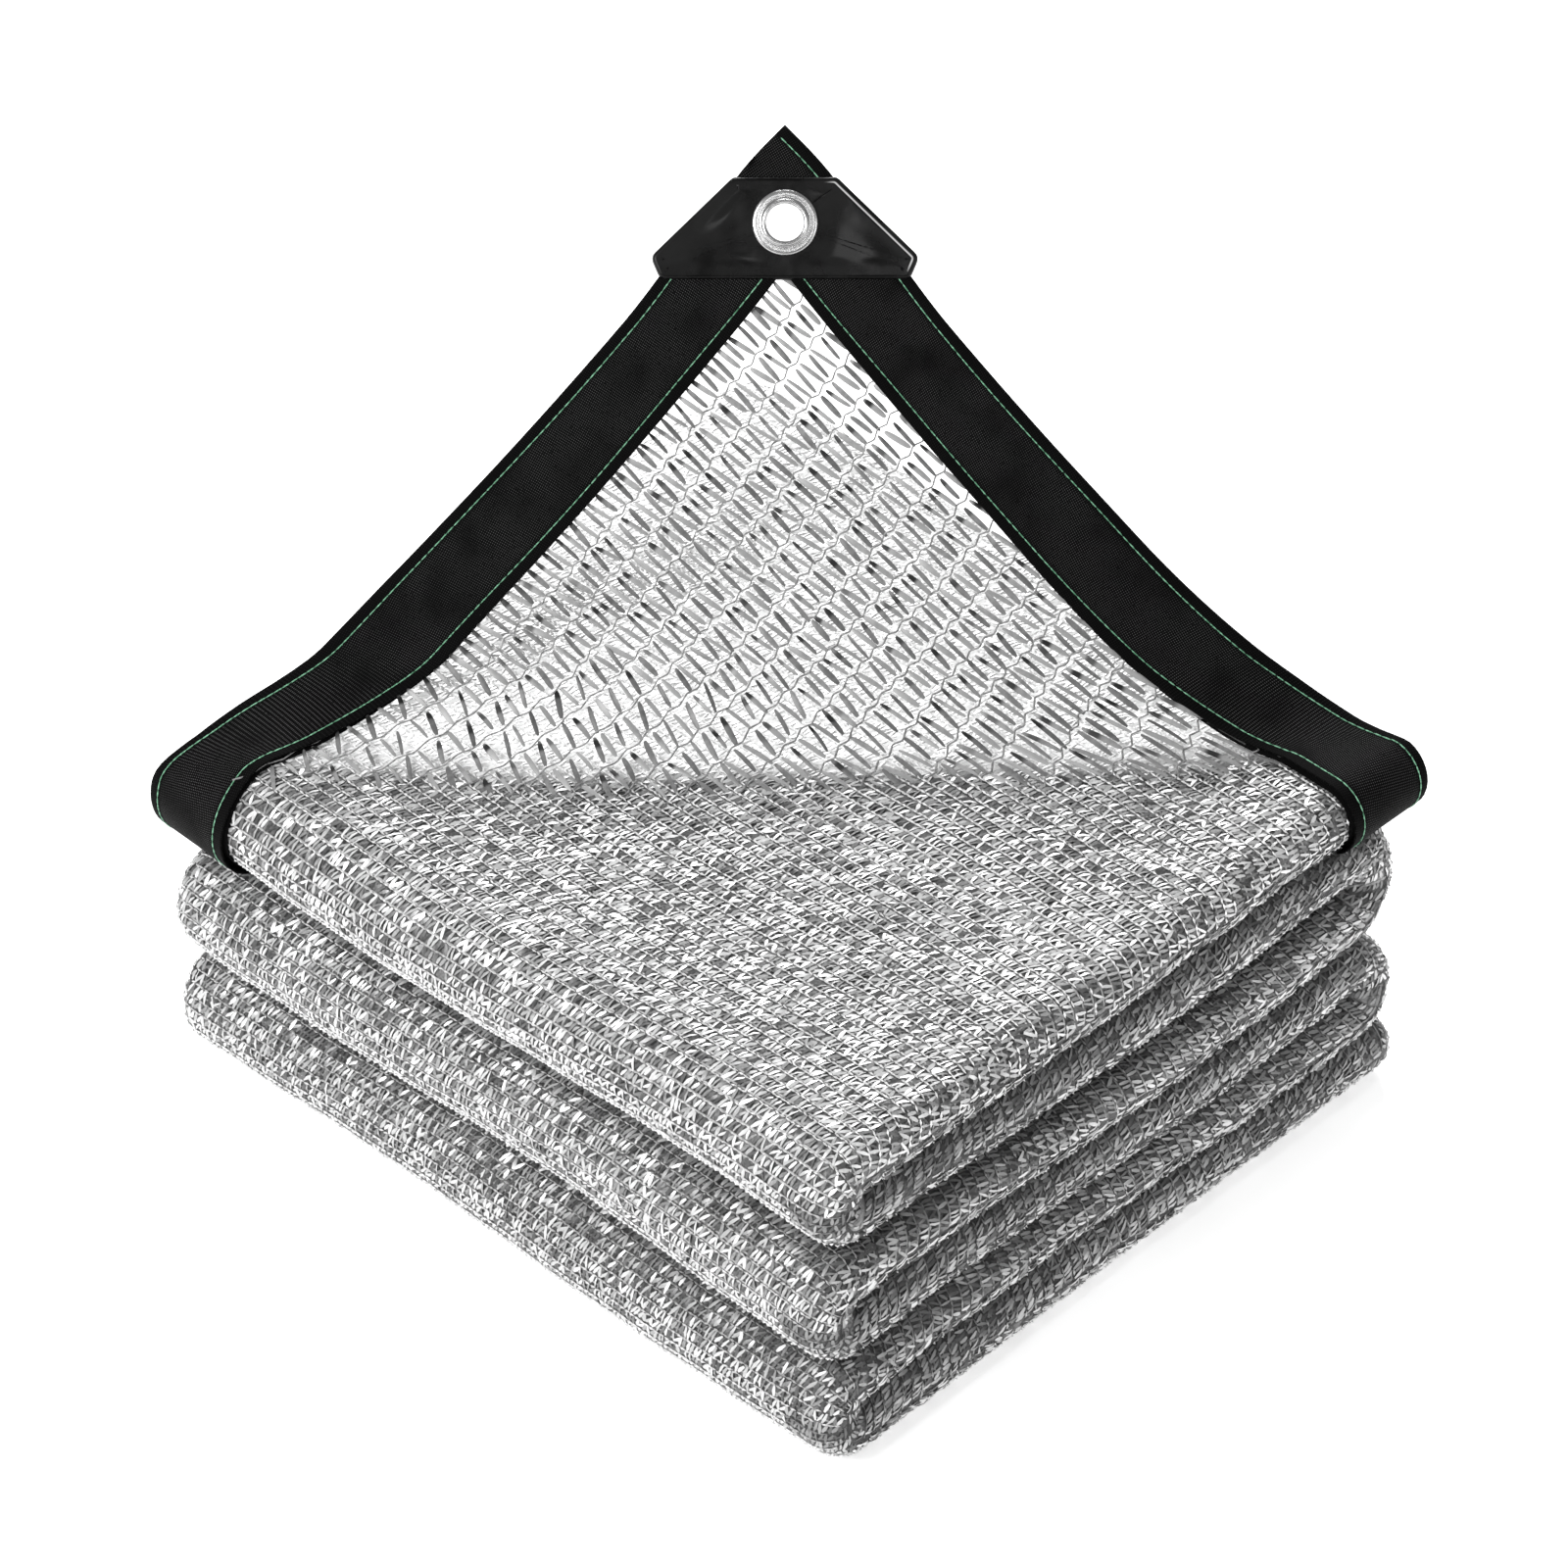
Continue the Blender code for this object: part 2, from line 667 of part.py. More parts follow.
def main():
    clear_scene()
    parts = new_collection(OBJECT_NAME)
    cutters = new_collection("cutters")
    frame = corner_frame()

    cloth = object_from("cloth", parts, folded_body())
    boolean(cloth, helper(object_from("net_of_corner", cutters, lifted_net())), "UNION")
    object_from("hem_left", parts, left_tape())
    hem_right = object_from("hem_right", parts, right_tape())
    patch = corner_patch(parts, cutters, frame)
    passage = eyelet_pass(cutters, frame)
    boolean(hem_right, passage, "DIFFERENCE")
    boolean(patch, passage, "DIFFERENCE")
    eyelet(parts, frame)


main()
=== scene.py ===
# %% [markdown]
# This is a shade cloth as it leaves its bag: a silver knitted net with black edge tape, folded
# into a square stack, with one corner lifted to show its patch and eyelet.
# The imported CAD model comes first. It fixes every size, so each piece below is built round it.

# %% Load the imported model
import math

import bmesh
import bpy
import numpy as np
from mathutils import Matrix, Vector


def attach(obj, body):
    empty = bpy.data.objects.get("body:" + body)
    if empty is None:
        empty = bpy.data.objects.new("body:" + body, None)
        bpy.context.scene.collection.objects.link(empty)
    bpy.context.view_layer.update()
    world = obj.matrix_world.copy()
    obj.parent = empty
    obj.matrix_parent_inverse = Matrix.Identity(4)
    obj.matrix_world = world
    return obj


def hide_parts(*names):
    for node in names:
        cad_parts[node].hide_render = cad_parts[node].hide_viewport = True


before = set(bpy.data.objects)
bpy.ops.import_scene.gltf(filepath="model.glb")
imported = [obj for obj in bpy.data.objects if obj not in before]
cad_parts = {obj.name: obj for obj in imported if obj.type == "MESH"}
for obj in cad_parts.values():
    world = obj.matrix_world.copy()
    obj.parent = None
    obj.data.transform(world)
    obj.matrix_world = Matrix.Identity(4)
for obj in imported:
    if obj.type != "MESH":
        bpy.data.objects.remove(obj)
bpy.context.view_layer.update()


# %% [markdown]
# The net is too soft and too fine for CAD, which holds it as plain solids. The pieces here follow
# the same folds, so they start from the same numbers as the CAD source, in millimetres.
# Pads are the six visible layers, and each stands for many plies of net.

# %% Sizes of the folded stack
MM = 0.001
STACK_X, STACK_Y = 300 * MM, 331 * MM
PADS = [  # from the top: height of the layer's middle and half its thickness
    (height * MM, half * MM)
    for height, half in (
        (134.8, 11.2),
        (111.8, 11.1),
        (81.7, 10.9),
        (59.0, 10.9),
        (35.2, 10.9),
        (11.9, 11.9),
    )
]
PINCHED_TURN = 0.38
CORNER_INSET = 9 * MM
TOP_OF_STACK = PADS[0][0] + PADS[0][1]
SAG_LEFT, SAG_HEIGHT = 5 * MM, 14 * MM
WAVE_X, WAVE_Y, WAVE_Z = 1.8 * MM, 1.5 * MM, 1.1 * MM
SWELL_ALONG_X, SWELL_ALONG_Y, SWELL_START = 41 * MM, 52 * MM, 0.6
SWAY_X_ALONG_Y, SWAY_X_ALONG_Z = 43 * MM, 31 * MM
SWAY_Y_ALONG_X, SWAY_Y_ALONG_Z, SWAY_Y_START = 47 * MM, 27 * MM, 1.2
CALM_FROM, CALM_BY = 150 * MM, 230 * MM
AWAY_ANGLE = math.radians(44)  # from +X to the direction in which the lifted corner leans
BOW, BOW_FROM, BOW_TO = 20 * MM, 55 * MM, 223 * MM


def smooth(share):
    """Eases from 0 to 1."""
    share = np.clip(share, 0.0, 1.0)
    return share * share * (3 - 2 * share)


def to_diagonal(x, y):
    """(across, away) of a place on the plan: along the lifted corner's crease, and over it."""
    across = x * math.sin(AWAY_ANGLE) - y * math.cos(AWAY_ANGLE)
    away = x * math.cos(AWAY_ANGLE) + y * math.sin(AWAY_ANGLE)
    return across, away


def from_diagonal(across, away):
    x = across * math.sin(AWAY_ANGLE) + away * math.cos(AWAY_ANGLE)
    y = -across * math.cos(AWAY_ANGLE) + away * math.sin(AWAY_ANGLE)
    return x, y


def settle(points):
    """Lets the stack sag and lie a little uneven, as its CAD solid does."""
    x, y, z = np.moveaxis(np.asarray(points, float), -1, 0)
    across, _ = to_diagonal(x, y)
    calm = smooth((z - CALM_FROM) / (CALM_BY - CALM_FROM))
    held = (1 - np.exp(-np.maximum(z, 0.0) / SAG_HEIGHT)) * (1 - calm)
    sag = SAG_LEFT * smooth(-across / BOW_TO)
    swell = WAVE_Z * np.sin(x / SWELL_ALONG_X + SWELL_START) * np.cos(y / SWELL_ALONG_Y)
    sway_x = WAVE_X * np.sin(y / SWAY_X_ALONG_Y + z / SWAY_X_ALONG_Z)
    sway_y = WAVE_Y * np.sin(x / SWAY_Y_ALONG_X + z / SWAY_Y_ALONG_Z + SWAY_Y_START)
    return np.stack((x + held * sway_x, y + held * sway_y, z + held * (swell - sag)), axis=-1)


print("stack:", STACK_X, STACK_Y, TOP_OF_STACK)

# %% [markdown]
# The lifted corner is one ply bent up from the stack. A place on it is named by where it lies on
# the flat cloth (x, y), so tape, stitches and net all use one function for their place in the air.
# It runs straight down from the tip, turns through a fillet, and lies on the stack below that.

# %% Surface of the top ply
SLOPE, FILLET = math.radians(49.1), 45 * MM
TIP_AWAY, TIP_HEIGHT = 146 * MM, 315 * MM
OUTLINE_DOWN = [row * MM for row in (0, 12, 19, 30, 65, 115, 157, 180, 200, 215, 231, 300)]
OUTLINE_SHARE = [1, 1, 0.9, 0.868, 0.813, 0.828, 0.842, 0.856, 0.869, 0.85, 0.81, 1]
OUTLINE_BLUR = 5 * MM
CREASE_EASE = 45 * MM
ROOT_LEAVES = 14 * MM
NET_THICKNESS, TAPE_WIDTH, TAPE_PLY, FIT = 1.2 * MM, 38 * MM, 0.7 * MM, 0.4 * MM
TAPE_HALF = NET_THICKNESS / 2 + FIT + TAPE_PLY
PLY_RISE = 0.5 * MM + TAPE_HALF
PLY_HEIGHT = TOP_OF_STACK + PLY_RISE
TIP_X, TIP_Y = STACK_X / 2 + 4 * MM, STACK_Y / 2 + 4 * MM
LEFT_INNER, RIGHT_INNER = TIP_Y - TAPE_WIDTH, TIP_X - TAPE_WIDTH
ROLL_RADIUS = TOP_OF_STACK - (PADS[0][0] + PADS[1][0]) / 2
ROLL_X = -STACK_X / 2 + ROLL_RADIUS
LOBE_Y = -STACK_Y / 2 + PADS[0][1]
STRAIGHT = (TIP_HEIGHT - PLY_HEIGHT - FILLET * (1 - math.cos(SLOPE))) / math.sin(SLOPE)
SPINE_END = STRAIGHT + FILLET * SLOPE
CREASE_AWAY = TIP_AWAY - STRAIGHT * math.cos(SLOPE) - FILLET * math.sin(SLOPE)
FLAT_TIP_ACROSS, FLAT_TIP_AWAY = to_diagonal(TIP_X, TIP_Y)
FLAT_REACH = FLAT_TIP_AWAY - CREASE_AWAY


def spine(down):
    """(away, height) of the ply's middle, this far down the cloth from the tip."""
    turn = np.maximum(0.0, SLOPE - (down - STRAIGHT) / FILLET)
    past = np.maximum(0.0, down - SPINE_END)
    straight = down < STRAIGHT
    away = CREASE_AWAY + FILLET * np.sin(turn) - past
    height = PLY_HEIGHT + FILLET * (1 - np.cos(turn))
    return (
        np.where(straight, TIP_AWAY - down * math.cos(SLOPE), away),
        np.where(straight, TIP_HEIGHT - down * math.sin(SLOPE), height),
    )


def half_width(down):
    """Half the lifted corner's width, this far down from its tip."""
    near = [np.maximum(0.0, down + step * OUTLINE_BLUR) for step in (-1, 0, 1)]
    return down * sum(np.interp(part, OUTLINE_DOWN, OUTLINE_SHARE) for part in near) / 3


LIFTED_DOWN = np.linspace(0.0, SPINE_END, 240)
FLAT_DOWN = np.concatenate(
    [[0.0], np.cumsum(np.hypot(np.diff(LIFTED_DOWN), np.diff(half_width(LIFTED_DOWN))))]
)
FLAT_DOWN *= FLAT_REACH / FLAT_DOWN[-1]


def bow(across):
    return BOW * (np.maximum(0.0, np.abs(across) - BOW_FROM) / (BOW_TO - BOW_FROM)) ** 2


def lifted_path(x, y):
    """How far up from the crease a place on the flat ply is. It is negative on the stack."""
    across, away = to_diagonal(x, y)
    return away - CREASE_AWAY - bow(across)


def wrap(x, y):
    """The ply on the stack: flat on top, round the roll at -X, round the lobe at -Y."""
    roll, lobe = ROLL_RADIUS + PLY_RISE, PADS[0][1] + PLY_RISE
    turn_x = np.clip((ROLL_X - x) / roll, 0.0, math.pi)
    turn_y = np.maximum(0.0, (LOBE_Y - y) / lobe)
    past = np.maximum(0.0, ROLL_X - x - math.pi * roll)
    height = PLY_HEIGHT + roll * (np.cos(turn_x) - 1) + lobe * (np.cos(turn_y) - 1)
    wrapped_x = np.where(x < ROLL_X, ROLL_X - roll * np.sin(turn_x) + past, x)
    wrapped_y = np.where(y < LOBE_Y, LOBE_Y - lobe * np.sin(turn_y), y)
    return np.stack((wrapped_x, wrapped_y, height), axis=-1)


def ply_middle(x, y):
    """The top ply's middle surface, from its place on the flat cloth."""
    across, away = to_diagonal(x, y)
    path = np.maximum(0.0, lifted_path(x, y))
    down = np.interp(FLAT_REACH - path, FLAT_DOWN, LIFTED_DOWN)
    spine_away, spine_height = spine(down)
    centre = FLAT_TIP_ACROSS * (away / FLAT_TIP_AWAY + 1) / 2
    eased = smooth(path / CREASE_EASE)
    flat_down = np.maximum(0.1 * MM, FLAT_TIP_AWAY - away)
    squeeze = 1 + (half_width(down) / flat_down - 1) * eased
    new_across = centre * (1 - eased) + (across - centre) * squeeze
    side_x, side_y = from_diagonal(new_across - across, spine_away + bow(across) - away)
    lift = np.stack((side_x, side_y, spine_height - PLY_HEIGHT), axis=-1)
    return wrap(x, y) + np.where((path > 0)[..., None], lift, 0.0)


def unit(vectors):
    return vectors / np.maximum(np.linalg.norm(vectors, axis=-1, keepdims=True), 1e-12)


def ply_point(x, y, out=0.0):
    """A point this far out from the top ply's middle surface."""
    step = 0.2 * MM
    along_x = ply_middle(x + step, y) - ply_middle(x - step, y)
    along_y = ply_middle(x, y + step) - ply_middle(x, y - step)
    outward = unit(np.cross(along_x, along_y))
    return ply_middle(x, y) + np.asarray(out)[..., None] * outward


def net_point(x, y, out=0.0):
    """As ply_point, but at its root the net runs straight on into the stack."""
    across, _ = to_diagonal(x, y)
    path = lifted_path(x, y)
    held = np.maximum(path, ROOT_LEAVES)
    step = 1 * MM
    low_x, low_y = from_diagonal(across, CREASE_AWAY + bow(across) + held)
    high_x, high_y = from_diagonal(across, CREASE_AWAY + bow(across) + held + step)
    low, high = ply_point(low_x, low_y, out), ply_point(high_x, high_y, out)
    return low + (high - low) * ((path - held) / step)[..., None]


tip = ply_point(np.array(TIP_X), np.array(TIP_Y))
print("tip of the lifted corner:", tip)

# %% [markdown]
# A material is a network of nodes. Wiring them by hand hides the idea behind the sum, so a small
# class wraps a socket: adding or multiplying two wires adds the Math node for it.
# Its one other method makes any node from its type, its settings and its sockets.


# %% Sums of node sockets
class Wire:
    """An output socket, or a bare node tree, for use in Python sums."""

    def __init__(self, tree, socket=None):
        self.tree = tree
        self.socket = socket

    def node(self, kind, settings=None, sockets=None, output=0):
        """Adds any node: its settings first, then values or wires for its sockets."""
        made = self.tree.nodes.new(kind)
        for name, value in (settings or {}).items():
            if name == "stops":
                ramp = made.color_ramp.elements
                while len(ramp) < len(value):
                    ramp.new(0.5)
                for stop, (place, colour) in zip(ramp, value):
                    stop.position, stop.color = place, colour
            else:
                setattr(made, name, value)
        pairs = sockets.items() if isinstance(sockets, dict) else enumerate(sockets or ())
        for key, value in pairs:
            if isinstance(value, Wire):
                self.tree.links.new(value.socket, made.inputs[key])
            elif value is not None:
                made.inputs[key].default_value = value
        return Wire(self.tree, made.outputs[output] if len(made.outputs) else None)

    def math(self, operation, *values):
        return self.node("ShaderNodeMath", {"operation": operation}, values)

    def __add__(self, other):
        return self.math("ADD", self, other)

    __radd__ = __add__

    def __sub__(self, other):
        return self.math("SUBTRACT", self, other)

    def __rsub__(self, other):
        return self.math("SUBTRACT", other, self)

    def __mul__(self, other):
        return self.math("MULTIPLY", self, other)

    __rmul__ = __mul__

    def __truediv__(self, other):
        return self.math("DIVIDE", self, other)

    def clamped(self, low=0.0, high=1.0):
        """This value eased from 0 at low to 1 at high."""
        settings = {"interpolation_type": "SMOOTHSTEP"}
        return self.node("ShaderNodeMapRange", settings, {"Value": self, 1: low, 2: high})


def grey(value):
    return (value, value, value, 1.0)


def mixed(factor, first, second):
    """Colour that goes from first to second as factor rises."""
    settings = {"data_type": "RGBA"}
    return factor.node("ShaderNodeMix", settings, {0: factor, 6: first, 7: second}, output=2)


def finish_material(name, look):
    """A material from a function that takes its tree's wire and returns shader sockets."""
    material = bpy.data.materials.new(name)
    material.use_nodes = True
    material.node_tree.nodes.clear()
    wire = Wire(material.node_tree)
    shader = wire.node("ShaderNodeBsdfPrincipled", sockets=look(wire))
    wire.node("ShaderNodeOutputMaterial", sockets={"Surface": shader})
    print("material:", name, "nodes:", len(material.node_tree.nodes))
    return material


# %% [markdown]
# The net is knitted from flat silver tape and a thin white chain thread. Each strand of tape
# catches the light at its own angle, so every strand carries a random number called shade, and
# the material turns it into a lighter or darker silver with its own gloss.
# A second number, pale, paints light from behind onto the net under the lifted corner, near white.


# %% Silver finishes
def number(wire, name):
    return wire.node("ShaderNodeAttribute", {"attribute_name": name}, output="Fac")


def noise(wire, scale, detail=2.0):
    place = wire.node("ShaderNodeTexCoord", output="Object")
    return wire.node("ShaderNodeTexNoise", sockets={"Vector": place, "Scale": scale, "Detail": detail})


def bump(wire, height, strength, distance):
    sockets = {"Strength": strength, "Distance": distance, "Height": height}
    return wire.node("ShaderNodeBump", sockets=sockets)


# Near white: painted light from behind, put on the net under the lifted corner.
PAINTED_BACKLIGHT = grey(0.93)


def silver_strand(wire):
    shade, pale, deep = number(wire, "shade"), number(wire, "pale"), number(wire, "deep")
    grain = noise(wire, 900.0)
    tone = (shade * 0.85 + grain * 0.3).clamped(0.1, 1.05)
    return {
        # deep darkens the strands as painted shade in the grooves.
        # pale mixes in painted light from behind, near white, and takes the metal away.
        "Base Color": mixed(pale, mixed(tone * (1 - deep * 0.75), grey(0.08), grey(0.8)), PAINTED_BACKLIGHT),
        "Roughness": 0.26 + grain * 0.3,
        "Metallic": 0.5 * (1 - pale),
        "Normal": bump(wire, grain, 0.35, 0.2 * MM),
    }


def white_thread(wire):
    fluff, pale, deep = noise(wire, 700.0), number(wire, "pale"), number(wire, "deep")
    # deep darkens the thread as painted shade in the grooves.
    tone = fluff.clamped(0.3, 0.7) * (1 - deep)
    return {
        # pale mixes in painted light from behind, near white.
        "Base Color": mixed(pale, mixed(tone, mixed(deep, grey(0.5), grey(0.2)), grey(0.9)), PAINTED_BACKLIGHT),
        "Roughness": 0.45 + fluff * 0.2,
        "Metallic": 0.15 * (1 - pale),
        "Normal": bump(wire, fluff, 0.4, 0.2 * MM),
    }


KNIT_PITCH = 5 * MM  # from chain to chain on the stack
STRAND_PITCH = 1.8 * MM  # from strand to strand along a chain
LOOP_PITCH = 2.5 * MM


def lower_ply(wire):
    """The next ply down: the same knit seen through the top one, in its own shadow."""
    uv = wire.node("ShaderNodeUVMap", {"uv_map": "cloth"})
    across = wire.node("ShaderNodeSeparateXYZ", sockets=[uv])
    along = Wire(wire.tree, across.socket.node.outputs[1])
    pale, deep = number(wire, "pale"), number(wire, "deep")
    blotch, speck = noise(wire, 55.0), noise(wire, 800.0)
    knots = wire.node(
        "ShaderNodeCombineXYZ", sockets=[across / KNIT_PITCH * 1.3, along / STRAND_PITCH, 0.0]
    )
    settings = {"voronoi_dimensions": "2D"}
    cell = wire.node("ShaderNodeTexVoronoi", settings, {"Vector": knots, "Scale": 1.0})
    chain = wire.math("SINE", across * (2 * math.pi / KNIT_PITCH)).clamped(0.82, 0.97)
    tone = (cell * 0.5 + speck * 0.7 + blotch * 0.3 - 0.35).clamped(0.15, 0.85)
    ground = mixed(chain, mixed(tone, grey(0.02), grey(0.3)), grey(0.45))
    return {
        # deep darkens the lower ply as painted shade in the grooves.
        # pale mixes in painted light from behind, near white.
        "Base Color": mixed(pale, mixed(deep * 0.7, ground, grey(0.02)), PAINTED_BACKLIGHT),
        "Roughness": 0.4 + speck * 0.3,
        "Metallic": 0.3 * (1 - pale),
        "Normal": bump(wire, tone + chain, 0.8, 0.6 * MM),
    }


silver = finish_material("silver_strand", silver_strand)
thread = finish_material("white_chain_thread", white_thread)
under = finish_material("lower_ply_of_net", lower_ply)

# %% [markdown]
# Folding makes one back-and-forth section. Its two faces are worked out as rows of points, and
# the same rows serve the skin, the chains and the strands, so nothing floats or sinks.
# At both ends the layers close to rounded lobes, which a share from 0 to 1 scales.

# %% Section of the fold
RUN_STEPS, TURN_STEPS, CAP_STEPS = 26, 22, 4
LOBE_ANGLES = (3, 9, 17, 27, 38, 50, 62, 75, 90)  # in degrees from a lobe's end
MIDDLE_STEPS = 44


def turn_reach(drop, share):
    """How far a turn's middle line bulges sideways. It closes up where the lobes end."""
    return drop * math.sqrt(share + (1 - share) * PINCHED_TURN)


def turn_centre(upper, lower, side, share):
    reach = turn_reach((upper[0] - lower[0]) / 2, share)
    return side * (STACK_X / 2 - CORNER_INSET * (1 - share) - reach - upper[1] * share)


def turn_points(centre, upper, lower, side, share, out):
    """One edge of a fold's turn: out is 1 for the outer edge, -1 for the inner, 0 for neither."""
    drop = (upper[0] - lower[0]) / 2
    reach = turn_reach(drop, share)
    part = np.linspace(0.0, 1.0, TURN_STEPS)
    half = share * (upper[1] + (lower[1] - upper[1]) * part)
    out_x, out_z = np.sin(math.pi * part) / reach, np.cos(math.pi * part) / drop
    scale = out * half / np.hypot(out_x, out_z)
    x = reach * np.sin(math.pi * part) + out_x * scale
    z = (upper[0] + lower[0]) / 2 + drop * np.cos(math.pi * part) + out_z * scale
    return list(zip(centre + side * x, z))


def free_end(share):
    return STACK_X / 2 - PADS[0][1] * share - CORNER_INSET * (1 - share)


def fold_edge(edge, share):
    """Points (x, z) along one face of the folded layers. Edge 1 lies over the even layers."""
    start, points = free_end(share), []
    for row, (height, half) in enumerate(PADS):
        heading = 1 if row % 2 else -1
        turns = row + 1 < len(PADS)
        stop = turn_centre(PADS[row], PADS[row + 1], heading, share) if turns else free_end(share)
        z = height - heading * edge * half * share
        points += [(x, z) for x in np.linspace(start, stop, RUN_STEPS + 1)[:-1]]
        if turns:
            out = -edge * heading
            points += turn_points(stop, PADS[row], PADS[row + 1], heading, share, out)
        start = stop
    points.append((free_end(share), PADS[-1][0] - edge * PADS[-1][1] * share))
    return np.array(points)


def lobe_rows():
    """(share, y) of each row of points along the stack."""
    half = PADS[0][1]
    ends = [(math.sin(a), half * math.cos(a)) for a in map(math.radians, LOBE_ANGLES)]
    low, high = LOBE_Y, STACK_Y / 2 - half
    rows = [(share, low - reach) for share, reach in ends]
    rows += [(1.0, y) for y in np.linspace(low, high, MIDDLE_STEPS + 1)[1:-1]]
    return rows + [(share, high + reach) for share, reach in reversed(ends)]


ROWS = lobe_rows()
FACES = {
    edge: np.stack(
        [np.insert(fold_edge(edge, share), 1, y, axis=1) for share, y in ROWS], axis=1
    )
    for edge in (1, -1, 0)
}
print("points along the fold, rows across it:", FACES[1].shape[:2])

# %% [markdown]
# Real cloth never lies flat after packing. A few soft troughs and ridges are listed for the top
# layer, each with its own place, direction, length, width and height.
# They fade out before the tape, so that the cloth never comes through it.

# %% Creases of the top layer
CREASES = (  # middle x, middle y, direction in degrees, half length, half width, height, in mm
    (55, -118, 4, 80, 9, -1.3),
    (20, -60, 28, 90, 15, 1.2),
    (-70, -20, 75, 85, 13, -1.0),
    (-40, 70, 60, 60, 10, 0.9),
    (85, -40, 50, 60, 8, -1.1),
    (95, -70, 44, 50, 7, 1.0),
    (-95, -90, 88, 60, 8, 0.8),
    (10, 5, -20, 60, 18, -1.0),
)
PUFF = 0.45 * MM  # small swellings of the outer sides, and their lengths
PUFF_X, PUFF_SLANT, PUFF_Y, PUFF_Z = 9.3 * MM, 21 * MM, 11.7 * MM, 13 * MM


def crease(points):
    """Moves the points of the top layer up and down by its creases."""
    x, y, z = np.moveaxis(np.asarray(points, float), -1, 0)
    lift = np.zeros_like(z)
    for mid_x, mid_y, turn, length, width, height in CREASES:
        c, s = math.cos(math.radians(turn)), math.sin(math.radians(turn))
        run = ((x - mid_x * MM) * c + (y - mid_y * MM) * s) / (length * MM)
        off = ((y - mid_y * MM) * c - (x - mid_x * MM) * s) / (width * MM)
        lift += height * MM * np.exp(-(off**2)) * np.exp(-(run**2) * 1.5)
    from_tape = np.minimum(LEFT_INNER - y, RIGHT_INNER - x)
    from_edge = np.minimum(x + STACK_X / 2, y + STACK_Y / 2)
    near = smooth(from_tape / (22 * MM)) * smooth(from_edge / (30 * MM))
    top = smooth((z - 138 * MM) / (6 * MM)) * (1 - smooth((z - 150 * MM) / (8 * MM)))
    puff = PUFF * np.sin(x / PUFF_X + y / PUFF_SLANT) * np.sin(y / PUFF_Y + z / PUFF_Z)
    outer = smooth(z / (12 * MM)) * (1 - top)
    lifted = np.array(points, float)
    lifted[..., 2] += lift * near * top
    lifted[..., 0] += puff * outer * smooth((np.abs(x) - 110 * MM) / (30 * MM))
    lifted[..., 1] += puff * outer * smooth((np.abs(y) - 130 * MM) / (30 * MM))
    return lifted


def lay(points):
    return settle(crease(points))


print("creases:", len(CREASES))

# %% [markdown]
# The skin is the body of the stack: the plies under the top one, as one closed surface through
# the rows of points. Its UV map is in metres along the fold and along the stack, so the material
# can draw the knit of the lower ply at its real size, also round the rolls.


# %% Skin of the stack
def mesh_piece(name, points, faces, material=None, smooth_faces=True):
    mesh = bpy.data.meshes.new(name)
    mesh.from_pydata([tuple(p) for p in points], [], faces)
    mesh.polygons.foreach_set("use_smooth", [smooth_faces] * len(mesh.polygons))
    if material is not None:
        mesh.materials.append(material)
    made = bpy.data.objects.new(name, mesh)
    bpy.context.scene.collection.objects.link(made)
    return made


GROOVES_LEFT, GROOVES_RIGHT = (96 * MM, 47 * MM), (122 * MM, 70 * MM, 24 * MM)
GROOVE_DEPTH = 15 * MM


def painted_groove_shade_at(points):
    """From 0 to 1: how deep these places lie under the layer above; the materials paint shade there."""
    x, y, z = np.moveaxis(np.asarray(points, float), -1, 0)
    deep = np.zeros_like(z)
    for grooves, side in ((GROOVES_LEFT, x < -STACK_X / 2 + 40 * MM), (GROOVES_RIGHT, x > 0)):
        near_end = y < -STACK_Y / 2 + 20 * MM
        for height in grooves:
            below = (height - z) / GROOVE_DEPTH
            part = smooth(1 - np.maximum(below, 0.0)) * smooth(1 + below * 3)
            deep = np.maximum(deep, part * (side | near_end))
    return deep * smooth(z / (8 * MM))


def add_numbers(mesh, label, values):
    layer = mesh.attributes.new(label, "FLOAT", "POINT")
    layer.data.foreach_set("value", np.asarray(values, np.float32).ravel())


def triangles(made):
    return sum(len(face.vertices) - 2 for face in made.data.polygons)


def free_cap(pad, share):
    """Half circle of points round a free end at +X, from its underside to its top."""
    height, half = pad
    angles = np.linspace(-math.pi / 2, math.pi / 2, 2 * CAP_STEPS + 2)[1:-1]
    x, z = free_end(share) + half * share * np.cos(angles), height + half * share * np.sin(angles)
    return list(zip(x, z))


MOST_PAINTED_BACKLIGHT, RIM = 0.88, 38 * MM


def painted_backlight_at(points):
    """From 0 to 1: how much light from behind is painted onto these places on the top layer."""
    x, y, z = np.moveaxis(np.asarray(points, float), -1, 0)
    across, _ = to_diagonal(x, y)
    rim = RIM * smooth((np.abs(across) - 35 * MM) / (110 * MM)) + 1 * MM
    inside = smooth(np.minimum(STACK_X / 2 - x, STACK_Y / 2 - y) / rim)
    under = smooth((lifted_path(x, y) - 2 * MM) / (10 * MM)) * smooth((z - 126 * MM) / (10 * MM))
    return MOST_PAINTED_BACKLIGHT * under * inside


def lofted(rings):
    """Points and quads of a closed surface through rings whose two halves mirror each other."""
    count = len(rings[0])
    faces = []
    for row in range(len(rings) - 1):
        here, there = row * count, (row + 1) * count
        for step in range(count):
            following = (step + 1) % count
            faces.append((here + step, here + following, there + following, there + step))
    for base, flip in ((0, False), ((len(rings) - 1) * count, True)):
        for step in range(count // 2 - 1):
            other = count - 1 - step
            quad = (base + step, base + step + 1, base + other - 1, base + other)
            faces.append(quad if flip else quad[::-1])
    return np.concatenate(rings), faces


def outward_normals(made):
    """Turns a closed mesh's faces outwards."""
    form = bmesh.new()
    form.from_mesh(made.data)
    bmesh.ops.recalc_face_normals(form, faces=form.faces)
    form.to_mesh(made.data)
    form.free()


